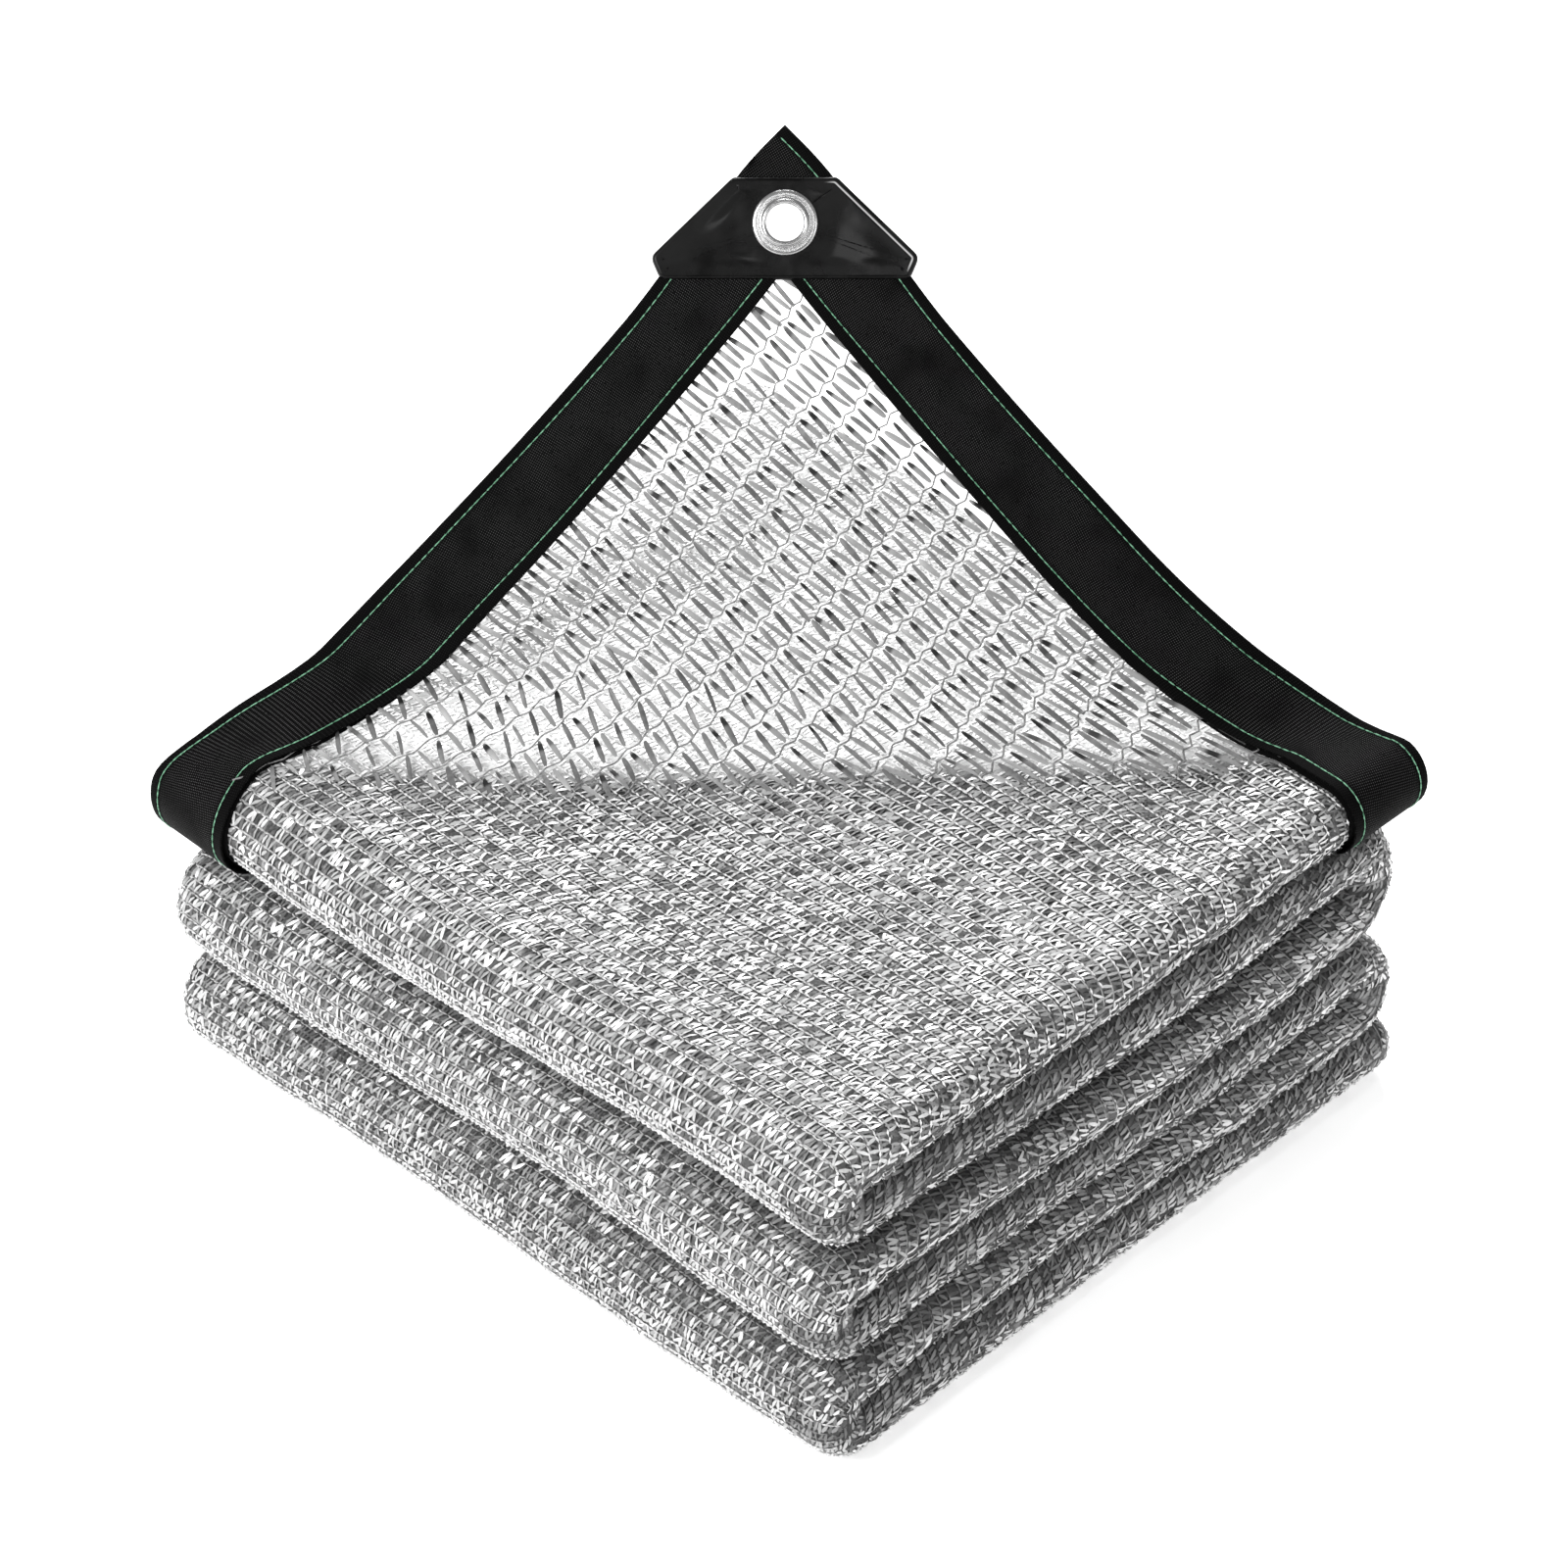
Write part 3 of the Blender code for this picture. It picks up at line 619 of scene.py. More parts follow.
def stack_skin():
    rings = []
    for column, (share, y) in enumerate(ROWS):
        start, end = free_cap(PADS[0], share), free_cap(PADS[-1], share)
        upper = [tuple(p) for p in FACES[1][:, column][:, [0, 2]]]
        lower = [tuple(p) for p in FACES[-1][:, column][:, [0, 2]]]
        # The ring's second half runs back, so both halves keep equal counts
        ring = start[CAP_STEPS:] + upper + end[:CAP_STEPS] + end[CAP_STEPS:]
        ring += lower[::-1] + start[:CAP_STEPS]
        rings.append(lay([(x, y, z) for x, z in ring]))
    points, faces = lofted(rings)
    made = mesh_piece("folded_cloth", points, faces, under)
    outward_normals(made)
    # Painted light from behind, under the lifted corner.
    add_numbers(made.data, "pale", painted_backlight_at(points))
    # Painted shade in the grooves between the layers.
    add_numbers(made.data, "deep", painted_groove_shade_at(points))
    count = len(rings[0])
    middle = rings[len(rings) // 2]
    run = np.concatenate([[0], np.cumsum(np.linalg.norm(np.diff(middle, axis=0), axis=1))])
    uv = made.data.uv_layers.new(name="cloth")
    corner_points = np.zeros(len(made.data.loops), int)
    made.data.loops.foreach_get("vertex_index", corner_points)
    along = np.array([y for _, y in ROWS])[corner_points // count]
    uv.data.foreach_set("uv", np.stack((run[corner_points % count], along), axis=1).ravel())
    return made


folded_cloth = stack_skin()
print("skin triangles:", triangles(folded_cloth))

# %% [markdown]
# Strands and chains repeat thousands of times, which is what Geometry Nodes are for. Python only
# works out the guide points, each with the way out of the cloth and the way along it.
# The tree puts one small shape on every point, turns it, and stores what the material reads.


# %% Guide points and trees
def guides(name, places, outward, along, stretch, shade):
    """A mesh of loose points that carry directions and numbers for a Geometry Nodes tree."""
    mesh = bpy.data.meshes.new(name)
    mesh.from_pydata([tuple(p) for p in places], [], [])
    for label, values in (("outward", outward), ("along", along)):
        layer = mesh.attributes.new(label, "FLOAT_VECTOR", "POINT")
        layer.data.foreach_set("vector", np.asarray(values, np.float32).ravel())
    add_numbers(mesh, "stretch", stretch)
    add_numbers(mesh, "shade", shade)
    # Painted light from behind, under the lifted corner.
    add_numbers(mesh, "pale", painted_backlight_at(places))
    # Painted shade in the grooves between the layers.
    add_numbers(mesh, "deep", painted_groove_shade_at(places))
    made = bpy.data.objects.new(name, mesh)
    bpy.context.scene.collection.objects.link(made)
    return made


def new_tree(name, inputs):
    """A Geometry Nodes tree with named inputs, as (tree, wire, input wires by name)."""
    tree = bpy.data.node_groups.new(name, "GeometryNodeTree")
    tree.interface.new_socket("Geometry", in_out="INPUT", socket_type="NodeSocketGeometry")
    tree.interface.new_socket("Geometry", in_out="OUTPUT", socket_type="NodeSocketGeometry")
    for label, kind in inputs.items():
        tree.interface.new_socket(label, in_out="INPUT", socket_type="NodeSocket" + kind)
    group = tree.nodes.new("NodeGroupInput")
    wires = {label: Wire(tree, group.outputs[label]) for label in ("Geometry", *inputs)}
    return tree, Wire(tree), wires


def grow(name, guide, tree, values):
    """Runs the tree on the guide and keeps the result as a plain mesh."""
    modifier = guide.modifiers.new(name, "NODES")
    modifier.node_group = tree
    for item in tree.interface.items_tree:
        if item.in_out == "INPUT" and item.name in values:
            modifier[item.identifier] = values[item.name]
    view = bpy.context.evaluated_depsgraph_get()
    view.update()
    mesh = bpy.data.meshes.new_from_object(guide.evaluated_get(view))
    mesh.name = name
    made = bpy.data.objects.new(name, mesh)
    bpy.context.scene.collection.objects.link(made)
    bpy.data.objects.remove(guide)
    print(name, "triangles:", triangles(made))
    return made


def named(wire, label, kind="FLOAT"):
    settings = {"data_type": kind}
    return wire.node("GeometryNodeInputNamedAttribute", settings, {"Name": label})


def laid_rotation(wire, roll, swing, seed):
    """Turns a shape's Z out of the cloth and its X along the strand, with a random twist."""
    up = wire.node(
        "FunctionNodeAlignRotationToVector",
        {"axis": "Z"},
        {"Vector": named(wire, "outward", "FLOAT_VECTOR")},
    )
    aimed = wire.node(
        "FunctionNodeAlignRotationToVector",
        {"axis": "X", "pivot_axis": "Z"},
        {"Rotation": up, "Vector": named(wire, "along", "FLOAT_VECTOR")},
    )
    low = wire.node("ShaderNodeCombineXYZ", sockets=[0 - roll, 0.0, 0 - swing])
    high = wire.node("ShaderNodeCombineXYZ", sockets=[roll, 0.0, swing])
    twist = wire.node(
        "FunctionNodeRandomValue",
        {"data_type": "FLOAT_VECTOR"},
        {0: low, 1: high, "Seed": seed},
    )
    turn = wire.node("FunctionNodeEulerToRotation", sockets=[twist])
    settings = {"rotation_space": "LOCAL"}
    return wire.node("FunctionNodeRotateRotation", settings, {"Rotation": aimed, "Rotate By": turn})


def strand_tree():
    """A strand of flat tape on every guide: arched, narrower at its ends, and twisted."""
    inputs = {
        "Width": "Float",
        "End Width": "Float",
        "Arch": "Float",
        "Roll": "Float",
        "Swing": "Float",
        "Steps": "Int",
        "Sides": "Int",
        "Seed": "Int",
        "Material": "Material",
    }
    tree, wire, given = new_tree("flat_strands", inputs)
    flat = wire.node(
        "GeometryNodeMeshGrid",
        sockets={
            "Size X": 1.0,
            "Size Y": 1.0,
            "Vertices X": given["Steps"],
            "Vertices Y": given["Sides"],
        },
    )
    place = wire.node("GeometryNodeInputPosition")
    split = wire.node("ShaderNodeSeparateXYZ", sockets=[place])
    run, side = split, Wire(tree, split.socket.node.outputs[1])
    marked = wire.node(
        "GeometryNodeStoreNamedAttribute",
        {"data_type": "FLOAT", "domain": "POINT"},
        {"Geometry": flat, "Name": "strand_run", "Value": run + 0.5},
    )
    belly = 1 - run * run * 4
    blunt = given["End Width"]
    narrowed = blunt + (1 - blunt) * wire.math("SQRT", wire.math("MAXIMUM", belly, 0.0))
    rise = (belly * given["Arch"]) - (side * side * given["Arch"] * 1.6)
    shaped = wire.node(
        "GeometryNodeSetPosition",
        sockets={
            "Geometry": marked,
            "Position": wire.node("ShaderNodeCombineXYZ", sockets=[run, side * narrowed, rise]),
        },
    )
    wide = wire.node(
        "FunctionNodeRandomValue",
        {"data_type": "FLOAT"},
        {2: 0.75, 3: 1.2, "Seed": given["Seed"] + 7},
        output=1,
    )
    scale = wire.node(
        "ShaderNodeCombineXYZ", sockets=[named(wire, "stretch"), given["Width"] * wide, 1.0]
    )
    spread = wire.node(
        "GeometryNodeInstanceOnPoints",
        sockets={
            "Points": given["Geometry"],
            "Instance": shaped,
            "Rotation": laid_rotation(wire, given["Roll"], given["Swing"], given["Seed"]),
            "Scale": scale,
        },
    )
    real = wire.node("GeometryNodeRealizeInstances", sockets={"Geometry": spread})
    soft = wire.node("GeometryNodeSetShadeSmooth", sockets={"Geometry": real})
    painted = wire.node(
        "GeometryNodeSetMaterial", sockets={"Geometry": soft, "Material": given["Material"]}
    )
    wire.node("NodeGroupOutput", sockets=[painted])
    return tree


STRANDS = strand_tree()
print("strand tree nodes:", len(STRANDS.nodes))

# %% [markdown]
# On the stack a strand crosses from each chain to the next, leaning one way and then the other.
# Guides are laid out by real length along the fold and along the stack. Places that no one can
# see are skipped: deep between the layers, and under the tape.

# %% Strands and chains of the stack
DEEP_OPEN_LEFT, DEEP_OPEN_RIGHT, DEEP_OPEN_END = 52 * MM, 40 * MM, 26 * MM
UNDER_TAPE = 1.5 * MM


def with_caps(edge):
    """(points, middle points, rows added before) of a face, with the fold's free ends on face 1."""
    if edge < 0:
        return FACES[edge], FACES[0], 0
    sides = []
    for pad in (PADS[0], PADS[-1]):
        cap = [[(x, y, z) for x, z in free_cap(pad, share)] for share, y in ROWS]
        core = [[(free_end(share), y, pad[0])] * len(cap[0]) for share, y in ROWS]
        sides.append((np.swapaxes(np.array(cap), 0, 1), np.swapaxes(np.array(core), 0, 1)))
    points = np.concatenate((sides[0][0], FACES[1], sides[1][0]))
    return points, np.concatenate((sides[0][1], FACES[0], sides[1][1])), len(sides[0][0])


def shown_on_stack(edge, raw, fold_index):
    """Whether each raw point of a face can be seen from outside."""
    x, y, z = np.moveaxis(raw, -1, 0)
    block = RUN_STEPS + TURN_STEPS
    pad = min(max(fold_index, 0) // block, len(PADS) - 1)
    in_turn = fold_index % block >= RUN_STEPS and fold_index < block * (len(PADS) - 1)
    in_cap = fold_index < 0 or fold_index > block * (len(PADS) - 1) + RUN_STEPS
    outer = in_cap or (in_turn and (-1 if pad % 2 else 1) == edge)
    top = pad == 0 and not in_turn and edge == 1
    ends = np.abs(y) > STACK_Y / 2 - DEEP_OPEN_END
    mouth = x < -STACK_X / 2 + DEEP_OPEN_LEFT if edge == 1 else x > STACK_X / 2 - DEEP_OPEN_RIGHT
    seen = (top | outer | ends | mouth) & (z > 1.2 * MM)
    rolled = (pad == 1) & (x < ROLL_X + 16 * MM) & (not in_turn)
    on_top_roll = (edge == 1) & ((pad == 0) | rolled)
    lies = lifted_path(x, y) < 4 * MM
    under_left = on_top_roll & (y > LEFT_INNER + UNDER_TAPE) & (lies | (x < -60 * MM))
    on_lobe = (pad == 0) & (not in_turn) & (fold_index >= 0) & ((edge == 1) | (y < LOBE_Y + 4 * MM))
    under_right = on_lobe & (x > RIGHT_INNER + UNDER_TAPE) & (lies | (y < -60 * MM))
    return seen & ~under_left & ~under_right


def at_fold(table, index):
    """Rows of a face at fractional places along the fold."""
    low = np.clip(np.floor(index).astype(int), 0, len(table) - 2)
    part = (index - low).reshape(-1, *([1] * (table.ndim - 1)))
    return table[low] * (1 - part) + table[low + 1] * part


def along_rows(line, step, offset, rng):
    """Fractional row places at even steps of length along one chain's line."""
    run = np.concatenate([[0], np.cumsum(np.linalg.norm(np.diff(line, axis=0), axis=1))])
    places = np.arange(offset, run[-1], step)
    places = places + rng.normal(0.0, step * 0.10, len(places))
    return np.interp(places, run, np.arange(len(run)))


def shade_of(rng, raw):
    """Lighter and darker strands at random, with a painted shadow of the lifted corner: a darker band before
    its crease.
    """
    x, y, z = np.moveaxis(raw, -1, 0)
    shade = rng.beta(1.15, 0.85, len(raw))
    path = lifted_path(x, y)
    # Painted shadow: a band before the crease is darkened, as if the lifted corner shaded it.
    root = smooth((path + 26 * MM) / (20 * MM)) * (1 - smooth(path / (3 * MM)))
    return shade * (1 - 0.35 * root * smooth((z - 140 * MM) / (4 * MM)))


def knit_of_face(edge, rng):
    """Guides of the strands and of the chain loops on one face of the fold."""
    raw, core, before = with_caps(edge)
    laid = lay(raw)
    outward = unit(np.cross(np.gradient(laid, axis=0), np.gradient(laid, axis=1)))
    thick = laid - lay(core)
    outward *= np.sign(np.sum(outward * thick, axis=-1, keepdims=True) + 1e-12)
    steps = np.linalg.norm(np.diff(laid, axis=0), axis=2)
    widest = np.maximum(steps.max(axis=1), 1e-6)
    run = np.concatenate([[0], np.cumsum(widest)])
    # Chains that lie closer than this share of their pitch leave out every second one
    openness = np.vstack([steps / widest[:, None], steps[-1:] / widest[-1]])
    strands, loops = [], []
    for chain, length in enumerate(np.arange(KNIT_PITCH / 2, run[-1] - KNIT_PITCH, KNIT_PITCH)):
        span = [length, length + KNIT_PITCH / 2, length + KNIT_PITCH]
        here = np.interp(span, run, range(len(run)))
        lines, normals = at_fold(laid, here), at_fold(outward, here)
        raws, opens = at_fold(raw, here), at_fold(openness, here)
        for kind, which in (("strand", 1), ("loop", 0)):
            pitch = STRAND_PITCH if kind == "strand" else LOOP_PITCH
            rows = along_rows(lines[which], pitch, rng.uniform(0, pitch), rng)
            room = np.interp(rows, range(len(ROWS)), opens[which])
            seen = shown_on_stack(edge, at_fold(raws[which], rows), int(here[which]) - before)
            rows = rows[seen & ((room > 0.6) | ((room > 0.25) & (chain % 2 == 0)))]
            if not len(rows):
                continue
            flat = at_fold(raws[which], rows)
            place, out = at_fold(lines[which], rows), unit(at_fold(normals[which], rows))
            forward = unit(at_fold(np.gradient(lines[which], axis=0), rows))
            if kind == "loop":
                tied = (np.abs(flat[:, 1]) < STACK_Y / 2 - 7 * MM) | (rng.random(len(rows)) < 0.5)
                full = np.full(len(rows), LOOP_PITCH)
                loops.append([item[tied] for item in (place, out, forward, full, full * 0 + 1)])
                continue
            over = at_fold(lines[2], rows) - at_fold(lines[0], rows)
            width = np.linalg.norm(over, axis=1)
            lean = np.where(np.arange(len(rows)) % 2, 0.55, 0.1) + rng.normal(0, 0.22, len(rows))
            aim = unit(unit(over) + forward * lean[:, None])
            spread = np.where(width < KNIT_PITCH * 0.6, 1.9, 1.0)
            reach = np.clip(width * spread, 0.8 * MM, KNIT_PITCH * 1.05)
            reach = reach * rng.uniform(0.7, 1.1, len(rows))
            strands.append([place, out, aim, reach, shade_of(rng, flat)])
    return strands, loops


def joined(parts):
    return [np.concatenate([part[item] for part in parts]) for item in range(len(parts[0]))]


def raised(places, outward, height):
    return places + outward * height


KNIT_RNG = np.random.default_rng(11)
knit_pieces, loop_sets = [], []
for edge, label in ((1, "knit_outer_face"), (-1, "knit_inner_face")):
    strand_rows, loop_rows = knit_of_face(edge, KNIT_RNG)
    loop_sets += loop_rows
    places, outward, aim, reach, shade = joined(strand_rows)
    lifts = KNIT_RNG.uniform(0.12, 0.42, len(places))[:, None] * MM
    guide = guides(label + "_guides", raised(places, outward, lifts), outward, aim, reach, shade)
    values = {
        "Width": 1.3 * MM,
        "End Width": 0.55,
        "Arch": 0.35 * MM,
        "Roll": 0.42,
        "Swing": 0.15,
        "Steps": 3,
        "Sides": 2,
        "Seed": 3,
        "Material": silver,
    }
    knit_pieces.append(grow(label, guide, STRANDS, values))
print("strands of the stack:", [triangles(piece) for piece in knit_pieces])

# %% [markdown]
# Chain loops are the white thread that ties the strands. One loop is a small raised lozenge, and
# thousands of them in a row read as a chain. Four sides are enough at this size.


# %% Chain loops
def loop_tree():
    """A raised lozenge on every guide."""
    inputs = {"Width": "Float", "Height": "Float", "Seed": "Int", "Material": "Material"}
    tree, wire, given = new_tree("chain_loops", inputs)
    lozenge = wire.node(
        "GeometryNodeMeshCone",
        {"fill_type": "NONE"},
        {"Vertices": 4, "Radius Top": 0.0, "Radius Bottom": 0.5, "Depth": 1.0},
    )
    scale = wire.node(
        "ShaderNodeCombineXYZ",
        sockets=[named(wire, "stretch") * 1.15, given["Width"], given["Height"]],
    )
    quiet = wire.node("ShaderNodeValue")
    quiet.socket.default_value = 0.06
    spread = wire.node(
        "GeometryNodeInstanceOnPoints",
        sockets={
            "Points": given["Geometry"],
            "Instance": lozenge,
            "Rotation": laid_rotation(wire, quiet, quiet * 4, given["Seed"]),
            "Scale": scale,
        },
    )
    real = wire.node("GeometryNodeRealizeInstances", sockets={"Geometry": spread})
    painted = wire.node(
        "GeometryNodeSetMaterial", sockets={"Geometry": real, "Material": given["Material"]}
    )
    wire.node("NodeGroupOutput", sockets=[painted])
    return tree


LOOPS = loop_tree()
places, outward, aim, reach, shade = joined(loop_sets)
guide = guides("chain_guides", raised(places, outward, 0.35 * MM), outward, aim, reach, shade)
values = {"Width": 0.8 * MM, "Height": 0.8 * MM, "Seed": 5, "Material": thread}
stack_chains = grow("chains_of_the_stack", guide, LOOPS, values)

# %% [markdown]
# In the lifted corner the net is a single ply, pulled open, so light comes through it. Its chains
# run along the left tape, and between two chains the strands zigzag, each long and pointed.
# They are laid out on the flat cloth and then carried up to the bent ply.


# %% Net of the lifted corner
def open_strand(wire):
    """Grey tape, with a dark core on some strands where it turns away from the light."""
    shade, run = number(wire, "shade"), number(wire, "strand_run")
    grain = noise(wire, 500.0)
    middle = wire.math("FRACT", shade * 7.3) * 0.25 + 0.12
    near = 1 - wire.math("ABSOLUTE", run - middle).clamped(0.08, 0.24)
    dark = near * wire.math("FRACT", shade * 5.7).clamped(0.5, 0.75)
    tone = (grain * 0.5 + shade * 0.7).clamped(0.2, 1.0)
    return {
        "Base Color": mixed(dark, mixed(tone, grey(0.10), grey(0.34)), grey(0.01)),
        "Roughness": 0.4 + grain * 0.2,
        "Metallic": 0.2,
    }


def open_chain(wire):
    fluff = noise(wire, 700.0)
    return {
        "Base Color": mixed(fluff.clamped(0.3, 0.7), grey(0.12), grey(0.32)),
        "Roughness": 0.5 + fluff * 0.2,
    }


OPEN_PITCH = 15 * MM  # from chain to chain in the lifted net
OPEN_STEP = 3.9 * MM  # from strand to strand
NET_IN_TAPE = 5 * MM
NET_TOP = 50 * MM
ROOT_PATH = -1.0 * MM


def in_lifted_net(x, y):
    """Whether a place on the flat cloth belongs to the net that shows in the lifted corner."""
    inside = (x < RIGHT_INNER + NET_IN_TAPE) & (y < LEFT_INNER + NET_IN_TAPE)
    return inside & (lifted_path(x, y) > ROOT_PATH)


def open_net_guides(rng):
    strands, chains = [], []
    first = LEFT_INNER + 2 * MM
    chain_ys = np.arange(first, -150 * MM, -OPEN_PITCH)
    for row, y in enumerate(chain_ys):
        xs = np.arange(-160 * MM, RIGHT_INNER + NET_IN_TAPE, OPEN_STEP) + rng.uniform(0, OPEN_STEP)
        xs = xs + rng.normal(0, 0.35 * MM, len(xs))
        steep = np.arange(len(xs)) % 2
        lean = np.where(steep, 0.6, 3.2) * MM + rng.normal(0.0, 0.6, len(xs)) * MM
        top = np.full(len(xs), y) - rng.uniform(0.0, 1.5, len(xs)) * MM
        low = top - OPEN_PITCH * rng.uniform(0.82, 1.0, len(xs))
        start = settle(net_point(xs - lean / 2, top))
        end = settle(net_point(xs + lean / 2, low))
        side = settle(net_point(xs + 1 * MM, (top + low) / 2)) - settle(
            net_point(xs - 1 * MM, (top + low) / 2)
        )
        reach = end - start
        keep = in_lifted_net(xs + lean / 2, low + 4 * MM) & in_lifted_net(xs - lean / 2, top - 6 * MM)
        middle = settle(net_point(xs, (top + low) / 2))
        out = unit(np.cross(side, -reach))
        length = np.linalg.norm(reach, axis=1) * 0.92
        shade = np.where(steep, 0.1, 0.6) + rng.uniform(0, 0.4, len(xs))
        strands.append([item[keep] for item in (middle, out, unit(reach), length, shade)])
        fine = np.arange(-160 * MM, RIGHT_INNER + NET_IN_TAPE, 0.95 * MM)
        kink = 0.9 * MM * (2 / math.pi) * np.arcsin(np.sin(fine * math.pi / OPEN_STEP + row))
        wave = 0.5 * MM * np.sin(fine / (9 * MM) + row * 1.7)
        line_y = y + kink + wave
        line = settle(net_point(fine, line_y))
        chains.append(line[in_lifted_net(fine, line_y)])
    return strands, [line for line in chains if len(line) > 3]


NET_RNG = np.random.default_rng(23)
open_rows, open_chains = open_net_guides(NET_RNG)
places, outward, aim, reach, shade = joined(open_rows)
guide = guides("open_guides", places, outward, aim, reach, shade)
open_silver = finish_material("open_net_strand", open_strand)
values = {
    "Width": 1.9 * MM,
    "End Width": 0.45,
    "Arch": 0.5 * MM,
    "Roll": 0.4,
    "Swing": 0.05,
    "Steps": 9,
    "Sides": 3,
    "Seed": 9,
    "Material": open_silver,
}
lifted_net = grow("lifted_net", guide, STRANDS, values)
print("strands of the lifted net:", len(places), "chains:", len(open_chains))


# %% [markdown]
# A chain of the lifted net is a thin wavy thread. The points of each are joined into a line, and
# Geometry Nodes turn the lines into curves and sweep a small ring along them.


# %% Threads along lines
def lines_guide(name, lines):
    """A mesh of edges through each line's points."""
    edges, count = [], 0
    for line in lines:
        edges += [(count + step, count + step + 1) for step in range(len(line) - 1)]
        count += len(line)
    mesh = bpy.data.meshes.new(name)
    mesh.from_pydata([tuple(p) for line in lines for p in line], edges, [])
    made = bpy.data.objects.new(name, mesh)
    bpy.context.scene.collection.objects.link(made)
    return made


def thread_tree():
    inputs = {"Radius": "Float", "Sides": "Int", "Material": "Material"}
    tree, wire, given = new_tree("threads", inputs)
    curve = wire.node("GeometryNodeMeshToCurve", sockets=[given["Geometry"]])
    ring = wire.node(
        "GeometryNodeCurvePrimitiveCircle",
        sockets={"Resolution": given["Sides"], "Radius": given["Radius"]},
    )
    tube = wire.node(
        "GeometryNodeCurveToMesh", sockets={"Curve": curve, "Profile Curve": ring, "Fill Caps": True}
    )
    real = wire.node("GeometryNodeRealizeInstances", sockets={"Geometry": tube})
    painted = wire.node(
        "GeometryNodeSetMaterial", sockets={"Geometry": real, "Material": given["Material"]}
    )
    wire.node("NodeGroupOutput", sockets=[painted])
    return tree


THREADS = thread_tree()
open_thread = finish_material("open_chain_thread", open_chain)
values = {"Radius": 0.38 * MM, "Sides": 4, "Material": open_thread}
open_lines = lines_guide("open_lines", open_chains)
lifted_chains = grow("chains_of_the_lifted_net", open_lines, THREADS, values)

# %% [markdown]
# The edge is bound with black woven tape, folded over the net and sewn twice. Its cross section
# is one closed loop, with a soft groove at each row of stitches, carried along the same bent ply.
# The UV map is in metres along and across the tape, which the weave in its material follows.

# %% Edge tape
STITCH_IN = (4.6 * MM, 33.4 * MM)  # from the tape's outer edge
GROOVE = 0.22 * MM
TAPE_STEP = 2.6 * MM
TAPE_ACROSS = (38, 37.4, 36, 34.6, 33.9, 33.4, 32.9, 32.2, 29, 24, 19, 14, 9, 6, 5.3, 4.6, 3.9, 3, 1.8)


def tape_section(slot):
    """(in from the outer edge, out of the ply) round the tape."""
    inward = np.array(TAPE_ACROSS) * MM
    dip = sum(np.exp(-(((inward - seam) / (0.8 * MM)) ** 2)) for seam in STITCH_IN) * GROOVE
    edge = 0.9 * MM
    upper = list(zip(inward, TAPE_HALF - dip))
    upper += [(edge, TAPE_HALF - 0.05 * MM), (0.35 * MM, TAPE_HALF - 0.35 * MM), (0.0, 0.5 * MM)]
    lower = [(across, -out) for across, out in reversed(upper)]
    gap = NET_THICKNESS / 2 + FIT
    inside = [(TAPE_WIDTH, -gap), (TAPE_WIDTH - slot, -gap)]
    return np.array(upper + lower + inside + [(across, -out) for across, out in reversed(inside)])


def tape_piece(name, places, flat_place, material):
    section = tape_section(3 * MM)
    rings = []
    for place in places:
        x, y = flat_place(place, section[:, 0])
        rings.append(settle(ply_point(x, y, section[:, 1])))
    count = len(section)
    faces = []
    for row in range(len(rings) - 1):
        for step in range(count):
            following = (step + 1) % count
            here, there = row * count, (row + 1) * count
            faces.append((here + step, here + following, there + following, there + step))
    faces += [tuple(range(count))[::-1], tuple(range((len(rings) - 1) * count, len(rings) * count))]
    made = mesh_piece(name, np.concatenate(rings), faces, material)
    uv = made.data.uv_layers.new(name="tape")
    corners = np.zeros(len(made.data.loops), int)
    made.data.loops.foreach_get("vertex_index", corners)
    run = np.asarray(places)[corners // count]
    uv.data.foreach_set("uv", np.stack((run, section[corners % count, 0]), axis=1).ravel())
    outward_normals(made)
    return made


def black_weave(wire):
    """Plain weave with small grey dots between the seams, and smoother, darker selvedges."""
    uv = wire.node("ShaderNodeUVMap", {"uv_map": "tape"})
    split = wire.node("ShaderNodeSeparateXYZ", sockets=[uv])
    along, across = split, Wire(wire.tree, split.socket.node.outputs[1])
    place = wire.node("ShaderNodeTexCoord", output="Object")
    cloudy = wire.node("ShaderNodeTexNoise", sockets={"Vector": place, "Scale": 45.0})
    fibre = wire.node("ShaderNodeTexNoise", sockets={"Vector": place, "Scale": 1500.0})
    pitch = 2 * math.pi / (1.45 * MM)
    first = wire.math("SINE", (along + across * 0.62) * pitch)
    second = wire.math("SINE", (across - along * 0.55) * pitch)
    weave = (first * second).clamped(0.15, 0.95)
    middle = across.clamped(4.2 * MM, 7 * MM) * (1 - across.clamped(31 * MM, 34 * MM))
    dots = weave * (middle * 0.85 + 0.15) * cloudy.clamped(0.1, 0.6)
    return {
        "Base Color": mixed(dots * fibre.clamped(0.2, 0.5), grey(0.0015), grey(0.07)),
        "Roughness": 0.6 + fibre * 0.25,
        "Specular IOR Level": 0.04,
        "Normal": wire.node(
            "ShaderNodeBump",
            sockets={"Strength": 0.7, "Distance": 0.25 * MM, "Height": weave + fibre * 0.3},
        ),
    }


tape_black = finish_material("black_woven_tape", black_weave)
roll_wrapped = math.pi * (ROLL_RADIUS + PLY_RISE)
lobe_wrapped = math.radians(150) * (PADS[0][1] + PLY_RISE)
left_places = np.arange(ROLL_X - roll_wrapped - 15 * MM, RIGHT_INNER - 0.4 * MM, TAPE_STEP)
right_places = np.arange(LOBE_Y - lobe_wrapped, TIP_Y - 1 * MM, TAPE_STEP)
left_places = np.append(left_places, RIGHT_INNER - 0.4 * MM)
right_places = np.append(right_places, TIP_Y)


def on_left(place, inward):
    return np.full_like(inward, place), TIP_Y - inward


